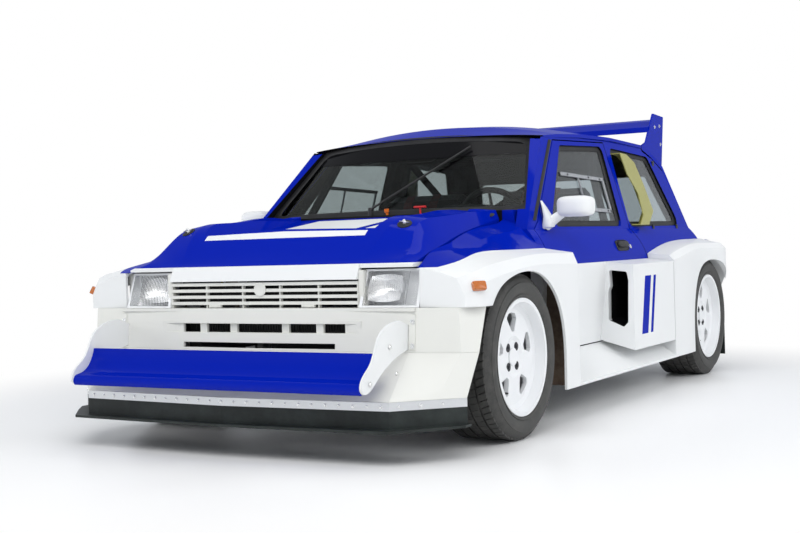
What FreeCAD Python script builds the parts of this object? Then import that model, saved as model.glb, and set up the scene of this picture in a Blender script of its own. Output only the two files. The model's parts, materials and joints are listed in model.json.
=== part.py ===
import FreeCAD, Part
import math
import os

# Short-tailed, mid-engined rally car with wide box flares, a nose wing and a rear wing.
# Millimetres. X to the car's left, Y to its rear, Z up. Origin on the ground below the box's middle.

Vector = FreeCAD.Vector

# Overall layout
WHEELBASE = 2391.0
FRONT_OVERHANG = 787.0
REAR_OVERHANG = 479.0
HALF_WIDTH = 905.0
FLARE_WIDTH = 130.0
SHOULDER_X = HALF_WIDTH - FLARE_WIDTH
ROOF_HEIGHT = 1309.0
WHEEL_SET_IN = 148.0
HALF_TRACK = HALF_WIDTH - WHEEL_SET_IN

# Tyres and rims
TYRE_RADIUS = 310.0
TYRE_WIDTH = 246.0
TREAD_DROP = 5.0
TYRE_SHOULDER = 22.0
TYRE_BULGE = 5.0
GROOVE_WIDTH = 9.0
GROOVE_DEPTH = 7.0
GROOVE_COUNT = 4
RIM_RADIUS = 221.0
RIM_WIDTH = 232.0
RIM_LIP = 9.0
RIM_WALL = 7.0
RIM_WELL_DROP = 26.0
DISC_SET_IN = 46.0
DISC_THICKNESS = 14.0
DISC_CONE = 16.0
SLOT_COUNT = 5
SLOT_OUTER_RADIUS = 166.0
HUB_CAP_RADIUS = 34.0
HUB_CAP_HEIGHT = 12.0
SPINDLE_RADIUS = 30.0
HUB_RADIUS = 62.0
HUB_LENGTH = 44.0

# Body side section, with the heights of door foot, shoulder, belt and roof edge up the roof height
SECTION_SHARES = (0.2078, 0.4866, 0.6012, 0.9167)
DOOR_FOOT_HEIGHT, SHOULDER_HEIGHT, BELT_HEIGHT, ROOF_EDGE_HEIGHT = [
    share * ROOF_HEIGHT for share in SECTION_SHARES]
SILL_HEIGHT = 150.0
DOOR_TUCK = 37.0
DOOR_FOOT_X = SHOULDER_X - DOOR_TUCK
BELT_TUCK = 65.0
BELT_X = SHOULDER_X - BELT_TUCK
ROOF_TUCK = 110.0
ROOF_EDGE_X = BELT_X - ROOF_TUCK
SIDE_WALL = 55.0
FLANK_BOW = 9.0
SHOULDER_BOW = 14.0

# Walls, gaps and fits
SKIN = 12.0
ROOF_SKIN = 16.0
LID_SKIN = 22.0
GLASS = 5.0
GLASS_SET_IN = 14.0
WINDOW_CORNER = 38.0
SEAT_GAP = 0.3
DOOR_GAP = 5.0
LID_GAP = 6.0
OVERRUN = 60.0

# Wheel wells
WELL_CLEARANCE = 40.0
WELL_WALL = 10.0
REAR_WELL_DEPTH = 179.0
REAR_WELL_INNER_X = SHOULDER_X - REAR_WELL_DEPTH
ARCH_FACE_DEPTH = 14.0

# Nose, with the tops of lamps, bumper and chin and the chin's foot up the roof height
NOSE_LEVEL_SHARES = (0.5019, 0.3972, 0.2781, 0.1635)
LAMP_TOP, BUMPER_TOP, CHIN_TOP, CHIN_BOTTOM = [share * ROOF_HEIGHT for share in NOSE_LEVEL_SHARES]
LAMP_WIDTH = 239.0
LAMP_SET_IN = 229.0
LAMP_OUTER_X = HALF_WIDTH - LAMP_SET_IN
LAMP_INNER_X = LAMP_OUTER_X - LAMP_WIDTH
LAMP_GAP = 4.0
STRIP_HEIGHT = 30.0
SPLITTER_TOP = 124.0
SPLITTER_THICKNESS = 9.0
UPPER_SLOT_HEIGHT = 34.0
LOWER_SLOT_HEIGHT = 20.0
LOWER_SLOT_WIDTH = 700.0
SLOT_RISE_SHARES = (0.526, 0.115)
UPPER_SLOT_MIDDLE, LOWER_SLOT_MIDDLE = [
    CHIN_TOP + share * (BUMPER_TOP - CHIN_TOP) for share in SLOT_RISE_SHARES]
GRILLE_BARS = 4
GRILLE_DIVIDERS = 4
GRILLE_BAR_HEIGHT = 12.0
GRILLE_DEPTH = 22.0
GRILLE_DIVIDER_WIDTH = 6.0
NOSE_WING_SET_IN = 265.0
NOSE_WING_HALF_SPAN = HALF_WIDTH - NOSE_WING_SET_IN
NOSE_WING_SKIN = 7.0
NOSE_PLATE_THICKNESS = 9.0

# Bonnet
BONNET_CHANNEL_WIDTH = 740.0
BONNET_CHANNEL_SPREAD = 60.0
BONNET_PIN_RADIUS = 7.0
BONNET_PIN_X = 500.0

# Doors and mirrors
HINGE_RADIUS = 7.0
HINGE_PIN_RADIUS = 4.0
HINGE_HEIGHT = 60.0
HINGE_RUNNING = 0.3
HINGE_AHEAD = 3.0
LID_HINGE_X = 250.0
POD_MOUTH_CORNER = 9.0
MIRROR_WIDTH = 150.0
MIRROR_OUT_X = HALF_WIDTH - HINGE_AHEAD
MIRROR_IN_X = MIRROR_OUT_X - MIRROR_WIDTH
MIRROR_HEIGHT = 88.0
MIRROR_DEPTH = 92.0
MIRROR_STALK_RADIUS = 11.0

# Tail
PANEL_LEVEL_SHARES = (0.547, 0.229)
REAR_PANEL_TOP, REAR_PANEL_FOOT = [share * ROOF_HEIGHT for share in PANEL_LEVEL_SHARES]
TAIL_LAMP_WIDTH = 190.0
TAIL_LAMP_HEIGHT = 120.0
WING_HALF_SPAN = ROOF_EDGE_X
WING_PLATE = 10.0
PIPE_RADIUS = 38.0
PIPE_WALL = 3.0
PIPE_GAP = 8.0
FLAP_THICKNESS = 6.0

# Inside
FLOOR_HEIGHT = 165.0
FLOOR_THICKNESS = 30.0
TUNNEL_HALF_WIDTH = 90.0
TUNNEL_HEIGHT = 170.0
BULKHEAD = 24.0
SEAT_X = 330.0
SEAT_WIDTH = 400.0
SEAT_SHELL = 30.0
CAGE_RADIUS = 19.0
BEAD = 1.5
WHEEL_RING_RADIUS = 168.0
WHEEL_RING_TUBE = 14.0
COLUMN_TILT = 20.0
COLUMN_RADIUS = 16.0
ENGINE_WIDTH = 540.0
ENGINE_LENGTH = 520.0
ENGINE_HEIGHT = 470.0

# Suspension
KINGPIN_SET_IN = 85.0
KINGPIN_LEAN = 132.0
KINGPIN_FOOT_X = HALF_TRACK - KINGPIN_SET_IN
KINGPIN_FOOT_HEIGHT = 205.0
KINGPIN_HEAD_X = KINGPIN_FOOT_X - KINGPIN_LEAN
KINGPIN_HEAD_HEIGHT = 690.0
STRUT_RADIUS = 22.0
UPRIGHT_THICKNESS = 34.0
ARM_RADIUS = 16.0
BEAM_HALF_WIDTH = 330.0
BEAM_SIZE = 60.0
BALL_RADIUS = 12.0
JOINT_RADIUS = 28.0
STUD_HEIGHT = 25.0
UPRIGHT_TOP_SHARE = 1.8
SHAFT_RADIUS = 15.0

# Fastenings
TOW_EYE_RADIUS = 25.0
TOW_EYE_WALL = 14.0
TOW_EYE_THICKNESS = 12.0
TOW_EYE_X = 200.0
JACK_PAD = 90.0
JACK_PAD_THICKNESS = 12.0

LENGTH = FRONT_OVERHANG + WHEELBASE + REAR_OVERHANG
FRONT_AXLE_Y = FRONT_OVERHANG - LENGTH / 2
REAR_AXLE_Y = FRONT_AXLE_Y + WHEELBASE
AXLE_HEIGHT = TYRE_RADIUS
WELL_RADIUS = TYRE_RADIUS + WELL_CLEARANCE

# Side-view outlines as shares: along the wheelbase from the front axle, and up the roof height
SIDE_SHARES = ((0.180, 0.115), (0.180, 0.604), (0.211, 0.663), (0.361, 0.928), (0.361, 0.978),
               (1.171, 0.978), (1.171, 0.535), (1.171, 0.229), (1.000, 0.229), (1.000, 0.115))
DOOR_SHARES = ((0.209, 0.211), (0.209, 0.600), (0.235, 0.628), (0.405, 0.908), (0.672, 0.924),
               (0.688, 0.601), (0.716, 0.489), (0.716, 0.211))
DOOR_WINDOW_SHARES = ((0.2865, 0.610), (0.432, 0.894), (0.657, 0.910), (0.649, 0.610))
QUARTER_WINDOW_SHARES = ((0.700, 0.909), (0.929, 0.893), (1.026, 0.611), (0.696, 0.608))
SCOOP_SHARES = ((0.714, 0.890), (0.752, 0.887), (0.788, 0.858), (0.808, 0.770), (0.822, 0.668),
                (0.770, 0.614), (0.718, 0.614), (0.752, 0.652), (0.757, 0.733), (0.724, 0.807))
SCOOP_STAND_SHARE = 0.7
HINGE_SHARES = (0.30, 0.44)
SCUTTLE_SHARES = (0.60, 0.667)
FIREWALL_TOP_SHARE = 0.60
JACK_FRONT_SHARE = 0.22
SEAT_SHARES = ((0.425, 0.225), (0.600, 0.225), (0.600, 0.735), (0.635, 0.735), (0.665, 0.735))
BOLSTER_SHARES = ((0.655, 0.63), (0.575, 0.64), (0.545, 0.42), (0.425, 0.30))
CAGE_SHARES = ((0.225, 0.0), (0.295, 0.63), (0.405, 0.905), (0.675, 0.60), (0.675, 0.45), (0.930, 0.60))
POD_FRONT_SHARES = (0.4735, 0.716)
POD_HEIGHT_SHARES = (0.221, 0.180, 0.475, 0.492)
POD_MOUTH_SHARES = ((0.874, 0.457), (0.966, 0.450), (0.974, 0.421), (0.968, 0.276), (0.946, 0.260),
                    (0.866, 0.284), (0.868, 0.384), (0.878, 0.400))
POD_MOUTH_DEPTH_SHARE = 0.7
DASH_BAR_SHARE = 0.62
DASH_SHARES = ((0.245, 0.655), (0.300, 0.655), (0.300, 0.590), (0.285, 0.485), (0.262, 0.485))
STEERING_WHEEL_SHARES = (0.385, 0.625)
CABIN_BACK_SHARE = 0.735
TAIL_BEAM_SHARE = 0.78

# Wheel-arch openings in side view, as shares of the tyre radius from the axle
FRONT_ARCH_SHARES = ((1.074, -0.70), (1.078, -0.25), (1.060, 0.18), (0.905, 0.610), (0.520, 0.930),
                     (-0.010, 1.032), (-0.560, 0.955), (-0.985, 0.700), (-1.265, 0.240), (-1.450, -0.250),
                     (-1.600, -0.70))
REAR_ARCH_SHARES = ((-1.113, -0.70), (-1.117, -0.25), (-1.085, 0.170), (-0.870, 0.610), (-0.470, 0.890),
                    (0.030, 0.971), (0.520, 0.870), (0.860, 0.610), (1.030, 0.230), (1.082, -0.25),
                    (1.090, -0.70))

# Slot in the wheel's disc, as shares of its outer radius across and out from the axle
RIM_SLOT_SHARES = ((-0.06, 0.57), (0.06, 0.57), (0.25, 0.86), (0.20, 0.97), (0.0, 1.0), (-0.20, 0.97),
                   (-0.25, 0.86))

# Front flare sections: place along the wheelbase, then half-width and roof-height shares from the
# outer edge inwards
FENDER_SHARES = (
    (-0.180, (0.945, 0.428), (0.912, 0.474), (0.840, 0.492), (0.760, 0.503), (0.741, 0.506)),
    (-0.165, (0.985, 0.450), (0.950, 0.487), (0.860, 0.501), (0.770, 0.510), (0.735, 0.512)),
    (-0.135, (1.000, 0.466), (0.972, 0.501), (0.865, 0.516), (0.775, 0.526), (0.717, 0.532)),
    (-0.062, (1.000, 0.484), (0.976, 0.515), (0.865, 0.533), (0.770, 0.549), (0.697, 0.561)),
    (0.019, (1.000, 0.496), (0.978, 0.526), (0.865, 0.541), (0.760, 0.574), (0.674, 0.592)),
    (0.110, (1.000, 0.496), (0.978, 0.528), (0.862, 0.542), (0.755, 0.594), (0.655, 0.615)),
    (0.201, (1.000, 0.491), (0.978, 0.527), (0.845, 0.541), (0.750, 0.616), (0.637, 0.637)))

# Rear flare sections in the same form
REAR_FLARE_SHARES = (
    (0.719, (1.000, 0.479), (0.975, 0.496), (0.856, 0.505)),
    (0.775, (1.000, 0.490), (0.972, 0.513), (0.856, 0.523)),
    (0.831, (1.000, 0.505), (0.970, 0.527), (0.856, 0.537)),
    (1.011, (1.000, 0.512), (0.968, 0.535), (0.830, 0.553)),
    (1.103, (0.998, 0.510), (0.966, 0.533), (0.820, 0.555)),
    (1.141, (0.890, 0.505), (0.870, 0.530), (0.810, 0.556)))
REAR_FLARE_INNER_SHARE = 0.79

# Bonnet sections: place along the wheelbase, then half-width and roof-height shares from the edge in
BONNET_SHARES = (
    (-0.179, (0.724, 0.513), (0.660, 0.516), (0.450, 0.518), (0.0, 0.519)),
    (-0.146, (0.713, 0.530), (0.652, 0.547), (0.480, 0.560), (0.0, 0.562)),
    (-0.124, (0.7045, 0.539), (0.641, 0.578), (0.500, 0.596), (0.0, 0.600)),
    (-0.103, (0.6970, 0.547), (0.624, 0.611), (0.508, 0.624), (0.0, 0.632)),
    (-0.081, (0.6925, 0.555), (0.619, 0.631), (0.515, 0.643), (0.0, 0.650)),
    (-0.042, (0.683, 0.571), (0.619, 0.643), (0.519, 0.652), (0.0, 0.658)),
    (0.037, (0.661, 0.600), (0.619, 0.652), (0.519, 0.661), (0.0, 0.667)),
    (0.125, (0.641, 0.623), (0.613, 0.662), (0.519, 0.668), (0.0, 0.674)),
    (0.195, (0.626, 0.640), (0.610, 0.668), (0.519, 0.674), (0.0, 0.679)))
BONNET_FOOT_SHARE = 0.44
BONNET_END_SHARES = (-0.2, 0.3)
BONNET_UNDER_SHARES = ((-0.2, 0.0), (0.3, 0.0), (0.3, 0.66), (0.10, 0.585), (-0.10, 0.52), (-0.18, 0.495),
                       (-0.2, 0.49))
BONNET_POST_SHARES = (0.44, 0.59)
CHANNEL_WALL_SHARE = 0.66
BONNET_STRIP_SHARES = ((-0.1895, 0.4755), (-0.1790, 0.5180), (-0.1700, 0.5180), (-0.1805, 0.4755))
CHANNEL_SHARES = ((-0.1095, 0.80), (-0.1095, 0.566), (-0.063, 0.592), (0.240, 0.672), (0.240, 0.80))

# Crowned panels: each station gives the edge's half-width share, the edge's place and height shares and
# the middle's place and height shares
ROOF_SHARES = (
    (0.663, 0.335, 0.917, 0.335, 0.934),
    (0.663, 0.431, 0.933, 0.431, 0.983),
    (0.663, 0.544, 0.944, 0.544, 1.000),
    (0.663, 0.711, 0.949, 0.711, 0.998),
    (0.663, 0.906, 0.939, 0.906, 0.974))
SCREEN_SHARES = (
    (0.737, 0.237, 0.6655, 0.209, 0.669),
    (0.602, 0.3685, 0.916, 0.343, 0.934))
TAILGATE_SHARES = (
    (0.663, 0.9084, 0.939, 0.9084, 0.974),
    (0.667, 0.962, 0.913, 0.967, 0.948),
    (0.687, 1.021, 0.860, 1.031, 0.888),
    (0.787, 1.118, 0.553, 1.149, 0.553))
WIPER_SHARES = ((-0.078, 0.2028, 0.667), (-0.078, 0.2028, 0.688), (0.320, 0.3237, 0.8955))
TAILGATE_GLASS_SHARES = ((0.575, 0.825), (0.665, 0.612))

# Nose outlines as shares: ahead of the front axle along the front overhang, and up the roof height
NOSE_PLATE_SHARES = (
    ((0.575, 0.350), (0.665, 0.367)),
    ((0.665, 0.367), (0.775, 0.357), (0.838, 0.335), (0.876, 0.300), (0.915, 0.264), (0.968, 0.240),
     (0.997, 0.218), (0.9993, 0.206), (0.985, 0.194), (0.952, 0.193), (0.875, 0.219), (0.760, 0.258),
     (0.657, 0.279), (0.575, 0.290)),
    ((0.575, 0.290), (0.575, 0.350)))
NOSE_BLADE_SHARES = ((0.848, 0.2895), (0.870, 0.2560), (0.903, 0.2335), (0.948, 0.2215), (0.985, 0.2150),
                     (0.994, 0.2030), (0.986, 0.1900))
LAMP_SHARES = (0.572, 0.551, 0.522, 0.489, 0.450)
LAMP_ROOM_SHARE = 0.44
SHELF_SHARES = (0.59, 0.46)
GRILLE_FRONT_SHARE = 0.566
RAIL_FRONT_SHARE = 0.50
# Openings of the upper slot across the half-width, and its recess: half-width at its floor and at its mouth
UPPER_SLOT_SHARES = ((-0.397, -0.306), (-0.270, -0.146), (-0.110, 0.119), (0.154, 0.288), (0.323, 0.427))
RECESS_SHARES = (0.440, 0.505)
RECESS_FLOOR_SHARE = 0.589
# Plan outlines: overhang share at the middle, at the corner with its half-width share, and at the arch
BUMPER_TOP_SHARES = ((0.600, 0.0), (0.580, 0.720), (0.552, 0.920), (0.440, 0.990))
BUMPER_FOOT_SHARES = ((0.625, 0.0), (0.600, 0.720), (0.560, 0.930), (0.510, 0.985))
CHIN_TOP_SHARES = ((0.625, 0.0), (0.600, 0.720), (0.560, 0.930), (0.510, 0.985))
CHIN_FOOT_SHARES = ((0.895, 0.0), (0.845, 0.750), (0.690, 0.880), (0.595, 0.965))
SPLITTER_SHARES = ((0.950, 0.0), (0.912, 0.773), (0.740, 0.900), (0.630, 0.972))
SPLITTER_BACK_SHARE = 0.575

# Tail outlines as shares: behind the rear axle along the rear overhang, and up the roof height
WING_PLATE_SHARES = ((-0.441, 0.917), (-0.441, 0.939), (-0.299, 0.955), (-0.027, 1.079),
                     (0.317, 1.073), (0.240, 0.902), (0.207, 0.833))
WING_BLADE_SHARES = ((-0.200, 0.998), (-0.190, 1.020), (0.070, 1.052), (0.290, 1.066),
                     (0.292, 1.059), (0.080, 1.036))
REAR_PANEL_SHARES = ((1.000, 0.0), (0.985, 0.620), (0.860, 0.770), (0.745, 0.860))
PANEL_SHELF_SHARES = ((0.990, 0.0), (0.975, 0.62), (0.860, 0.76), (0.720, 0.70), (0.800, 0.0))
PANEL_OPENING_SHARES = (0.36, 0.30)
TAIL_LAMP_SHARES = (0.52, 0.93, 0.485)
PIPE_SHARES = (0.995, 0.255)
FLAP_SHARES = (0.70, 0.95)
DECK_FRONT_SHARE = 0.5
TAIL_BEAM_TOP_SHARE = 0.42

# Widths of crowned cutters, as shares of the panel they clear
LID_CUT_SHARE = 1.2
SCREEN_CUT_SHARE = 1.3

# Mirror housing: place across, then size of the section there
MIRROR_SHARES = ((0.0, 0.72), (0.5, 1.0), (1.0, 0.86))
MIRROR_SECTION_SHARES = ((-0.5, 0.20), (-0.2, 0.0), (0.5, 0.0), (0.5, 1.0), (-0.15, 1.0), (-0.5, 0.75))
MIRROR_FOOT_SHARE = 0.644


def along(share):
    return FRONT_AXLE_Y + share * WHEELBASE


def ahead(share):
    return FRONT_AXLE_Y - share * FRONT_OVERHANG


def behind(share):
    return REAR_AXLE_Y + share * REAR_OVERHANG


def up(share):
    return share * ROOF_HEIGHT


def out(share):
    return share * HALF_WIDTH


def side_points(shares):
    return [(along(place), up(height)) for place, height in shares]


def nose_points(shares):
    return [(ahead(place), up(height)) for place, height in shares]


def tail_points(shares):
    return [(behind(place), up(height)) for place, height in shares]


def arch_points(shares, axle_y):
    return [(axle_y + place * TYRE_RADIUS, AXLE_HEIGHT + rise * TYRE_RADIUS) for place, rise in shares]


def box(low_x, high_x, low_y, high_y, low_z, high_z):
    return Part.makeBox(high_x - low_x, high_y - low_y, high_z - low_z, Vector(low_x, low_y, low_z))


def ring_wire(points):
    return Part.makePolygon(points + [points[0]])


def prism_x(points, low_x, high_x):
    wire = ring_wire([Vector(low_x, y, z) for y, z in points])
    return Part.Face(wire).extrude(Vector(high_x - low_x, 0, 0))


def prism_y(points, low_y, high_y):
    wire = ring_wire([Vector(x, low_y, z) for x, z in points])
    return Part.Face(wire).extrude(Vector(0, high_y - low_y, 0))


def prism_z(points, low_z, high_z):
    wire = ring_wire([Vector(x, y, low_z) for x, y in points])
    return Part.Face(wire).extrude(Vector(0, 0, high_z - low_z))


def chained_wire(chains):
    edges = []
    for chain in chains:
        points = [Vector(0, y, z) for y, z in chain]
        if len(points) == 2:
            edges.append(Part.LineSegment(points[0], points[1]).toShape())
        else:
            curve = Part.BSplineCurve()
            curve.interpolate(points)
            edges.append(curve.toShape())
    return Part.Wire(edges)


def chained_prism_x(chains, low_x, high_x):
    face = Part.Face(chained_wire(chains))
    face.translate(Vector(low_x, 0, 0))
    return face.extrude(Vector(high_x - low_x, 0, 0))


def arch_prism(shares, axle_y, low_x, high_x):
    points = arch_points(shares, axle_y)
    return chained_prism_x([points, [points[-1], points[0]]], low_x, high_x)


def grown(points, gap):
    face = Part.Face(ring_wire([Vector(0, y, z) for y, z in points]))
    wire = face.OuterWire.makeOffset2D(gap, 2)
    return Part.Face(wire)


def softened(wire, corner, gap):
    inner = Part.Face(wire).OuterWire.makeOffset2D(-corner, 2)
    return Part.Face(inner.makeOffset2D(corner + gap, 0))


def window_prism(shares, gap):
    wire = ring_wire([Vector(0, y, z) for y, z in side_points(shares)])
    return softened(wire, WINDOW_CORNER, gap).extrude(Vector(2 * HALF_WIDTH, 0, 0))


def grown_prism_x(points, gap, low_x, high_x):
    face = grown(points, gap)
    face.translate(Vector(low_x, 0, 0))
    return face.extrude(Vector(high_x - low_x, 0, 0))


def rod(start, end, radius):
    line = end - start
    return Part.makeCylinder(radius, line.Length, start, line)


def tube_run(points, radius):
    solid = rod(points[0], points[1], radius)
    for start, end in zip(points[1:], points[2:]):
        solid = solid.fuse(rod(start, end, radius)).fuse(Part.makeSphere(radius + BEAD, start))
    return solid


def mirrored(shape):
    return shape.mirror(Vector(0, 0, 0), Vector(1, 0, 0))


def pair(shape):
    return solids_of(shape) + solids_of(mirrored(shape))


def solids_of(shape):
    return list(shape.Solids)


def largest(shape):
    return sorted(shape.Solids, key=lambda solid: solid.Volume)[-1]


def fused(shapes):
    solid = shapes[0]
    if len(shapes) > 1:
        solid = solid.multiFuse(shapes[1:])
    return solid.removeSplitter()


def save(name, solids):
    shape = solids[0] if len(solids) == 1 else Part.makeCompound(solids)
    shape.exportStep("parts/" + name + ".step")


def side_path(inset):
    foot = DOOR_FOOT_X - inset
    shoulder = SHOULDER_X - inset
    belt = BELT_X - inset
    roof = ROOF_EDGE_X - inset
    slope = (ROOF_EDGE_X - BELT_X) / (ROOF_EDGE_HEIGHT - BELT_HEIGHT)
    flank_x = (foot + shoulder) / 2 + FLANK_BOW
    flank_z = (DOOR_FOOT_HEIGHT + SHOULDER_HEIGHT) / 2
    round_x = (shoulder + belt) / 2 + SHOULDER_BOW
    round_z = (SHOULDER_HEIGHT + BELT_HEIGHT) / 2
    top = ROOF_HEIGHT + OVERRUN
    top_x = roof + slope * (top - ROOF_EDGE_HEIGHT)
    low = Vector(foot, 0, 0)
    knee = Vector(foot, 0, DOOR_FOOT_HEIGHT)
    hip = Vector(shoulder, 0, SHOULDER_HEIGHT)
    waist = Vector(belt, 0, BELT_HEIGHT)
    edges = [Part.LineSegment(low, knee).toShape(),
             Part.Arc(knee, Vector(flank_x, 0, flank_z), hip).toShape(),
             Part.Arc(hip, Vector(round_x, 0, round_z), waist).toShape(),
             Part.LineSegment(waist, Vector(top_x, 0, top)).toShape()]
    return edges, low, Vector(top_x, 0, top)


def side_skin(outer_inset, inner_inset, low_y, high_y):
    outer, outer_low, outer_top = side_path(outer_inset)
    inner, inner_low, inner_top = side_path(inner_inset)
    closing = [Part.LineSegment(outer_top, inner_top).toShape(),
               Part.LineSegment(inner_low, outer_low).toShape()]
    face = Part.Face(Part.Wire(Part.__sortEdges__(outer + inner + closing)))
    face.translate(Vector(0, low_y, 0))
    return face.extrude(Vector(0, high_y - low_y, 0))


def cabin_slab(inset, low_y, high_y, low_z, high_z):
    edges, low, top = side_path(inset)
    middle_low = Vector(0, 0, low.z)
    middle_top = Vector(0, 0, top.z)
    closing = [Part.LineSegment(top, middle_top).toShape(),
               Part.LineSegment(middle_top, middle_low).toShape(),
               Part.LineSegment(middle_low, low).toShape()]
    face = Part.Face(Part.Wire(Part.__sortEdges__(edges + closing)))
    face.translate(Vector(0, low_y, 0))
    half = face.extrude(Vector(0, high_y - low_y, 0))
    half = half.common(box(0, 2 * HALF_WIDTH, low_y, high_y, low_z, high_z))
    return half.fuse(mirrored(half)).removeSplitter()


def crowned(stations, start, depth, width_share):
    wires = []
    for half_share, edge_place, edge_height, middle_place, middle_height in stations:
        half = out(half_share)
        middle = Vector(0, along(middle_place), up(middle_height))
        rise = middle - Vector(0, along(edge_place), up(edge_height))
        radius = (half ** 2 + rise.Length ** 2) / rise.Length / 2
        drop = radius - math.sqrt(radius ** 2 - (half * width_share) ** 2)
        rise.normalize()
        edge = middle - rise * drop + Vector(half * width_share, 0, 0)
        other = Vector(-edge.x, edge.y, edge.z)
        near = -start * rise
        far = -depth * rise
        outer = Part.Arc(other + near, middle + near, edge + near).toShape()
        inner = Part.Arc(edge + far, middle + far, other + far).toShape()
        ends = [Part.LineSegment(edge + near, edge + far).toShape(),
                Part.LineSegment(other + far, other + near).toShape()]
        wires.append(Part.Wire([outer, ends[0], inner, ends[1]]))
    return Part.makeLoft(wires, True, True)


def lid_cutters(start):
    cutter = crowned(TAILGATE_SHARES, start, LID_SKIN + LID_GAP, LID_CUT_SHARE)
    return [cutter, cutter.translated(Vector(0, 0, -LID_GAP)), cutter.translated(Vector(0, -LID_GAP, 0))]


def roof_cutter():
    return crowned(ROOF_SHARES, -4 * OVERRUN, ROOF_SKIN, 1.0)


def wheel_well(axle_y, inner_x, radius):
    drum = Part.makeCylinder(radius, 2 * HALF_WIDTH, Vector(inner_x, axle_y, AXLE_HEIGHT), Vector(1, 0, 0))
    under = box(inner_x, inner_x + 2 * HALF_WIDTH, axle_y - radius, axle_y + radius, -OVERRUN, AXLE_HEIGHT)
    return drum.fuse(under)


def body_sides():
    outline = side_points(SIDE_SHARES)
    skin = side_skin(0, SIDE_WALL, along(0), behind(1.0))
    side = skin.common(prism_x(outline, 0, 2 * HALF_WIDTH))
    side = side.cut(grown_prism_x(side_points(DOOR_SHARES), DOOR_GAP, 0, 2 * HALF_WIDTH))
    side = side.cut(window_prism(QUARTER_WINDOW_SHARES, 0))
    side = side.cut(roof_cutter())
    side = side.cut(crowned(SCREEN_SHARES, -2 * OVERRUN, GLASS, 1.0))
    side = side.cut(lid_cutters(-4 * OVERRUN))
    side = side.cut(wheel_well(REAR_AXLE_Y, REAR_WELL_INNER_X, WELL_RADIUS))
    side = side.cut(behind_rear_panel())
    side = largest(side)
    for height in door_hinge_heights():
        side = side.fuse(hinge_bracket(height)).cut(hinge_bore(height))
    save("body_sides", pair(side.fuse(hinge_pins())))


def hinge_place():
    return along(DOOR_SHARES[0][0]) - HINGE_AHEAD


def door_hinge_heights():
    return [up(share) for share in HINGE_SHARES]


def hinge_bracket(height):
    y = hinge_place()
    ears = Part.makeCylinder(HINGE_RADIUS, HINGE_HEIGHT, Vector(SHOULDER_X, y, height))
    arm = box(SHOULDER_X - SIDE_WALL / 2, SHOULDER_X, y - HINGE_RADIUS - DOOR_GAP, y,
              height, height + HINGE_HEIGHT)
    return ears.fuse(arm)


def hinge_bore(height):
    y = hinge_place()
    gap = HINGE_HEIGHT / 3
    return box(SHOULDER_X - SIDE_WALL, SHOULDER_X + SIDE_WALL, y - HINGE_RADIUS - HINGE_RUNNING,
               y + SIDE_WALL, height + gap, height + 2 * gap)


def hinge_pins():
    pins = [Part.makeCylinder(HINGE_PIN_RADIUS, HINGE_HEIGHT, Vector(SHOULDER_X, hinge_place(), height))
            for height in door_hinge_heights()]
    return pins[0].fuse(pins[1])


def door_hinge_sleeves():
    y = hinge_place()
    gap = HINGE_HEIGHT / 3
    sleeves = []
    for height in door_hinge_heights():
        low = height + gap + HINGE_RUNNING
        tall = gap - 2 * HINGE_RUNNING
        sleeve = Part.makeCylinder(HINGE_RADIUS, tall, Vector(SHOULDER_X, y, low))
        arm = box(SHOULDER_X - SIDE_WALL / 2, SHOULDER_X, y, y + 4 * HINGE_RADIUS, low, low + tall)
        sleeve = sleeve.fuse(arm)
        bore = Part.makeCylinder(HINGE_PIN_RADIUS + HINGE_RUNNING, tall, Vector(SHOULDER_X, y, low))
        sleeves.append(sleeve.cut(bore))
    return sleeves


def door(name, flip):
    panel = side_skin(0, SIDE_WALL, along(0), along(1.0))
    panel = panel.common(prism_x(side_points(DOOR_SHARES), 0, 2 * HALF_WIDTH))
    panel = panel.cut(window_prism(DOOR_WINDOW_SHARES, 0))
    for height in door_hinge_heights():
        room = Part.makeCylinder(HINGE_RADIUS + DOOR_GAP, HINGE_HEIGHT + 2 * DOOR_GAP,
                                 Vector(SHOULDER_X, hinge_place(), height - DOOR_GAP))
        panel = panel.cut(room)
    solid = fused([panel, door_pod()] + door_hinge_sleeves())
    save("door_" + name, [flip(solid)])
    pane = side_skin(GLASS_SET_IN, GLASS_SET_IN + GLASS, along(0), along(1.0))
    pane = pane.common(window_prism(DOOR_WINDOW_SHARES, -SEAT_GAP))
    save("door_glass_" + name, [flip(pane)])
    save("mirror_" + name, [flip(mirror_shell())])


def door_pod():
    front = along(POD_FRONT_SHARES[0])
    back = along(POD_FRONT_SHARES[1])
    inner_x = DOOR_FOOT_X - SIDE_WALL / 2
    wires = []
    low_in, low_out, high_out, high_in = POD_HEIGHT_SHARES
    for y in (front, back):
        points = [(inner_x, y, up(low_in)), (HALF_WIDTH, y, up(low_out)),
                  (HALF_WIDTH, y, up(high_out)), (inner_x, y, up(high_in))]
        wires.append(ring_wire([Vector(*point) for point in points]))
    pod = Part.makeLoft(wires, True, True)
    rim = ring_wire([Vector(out(x), front - OVERRUN, up(z)) for x, z in POD_MOUTH_SHARES])
    depth = OVERRUN + (back - front) * POD_MOUTH_DEPTH_SHARE
    return pod.cut(softened(rim, POD_MOUTH_CORNER, 0).extrude(Vector(0, depth, 0)))


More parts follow.
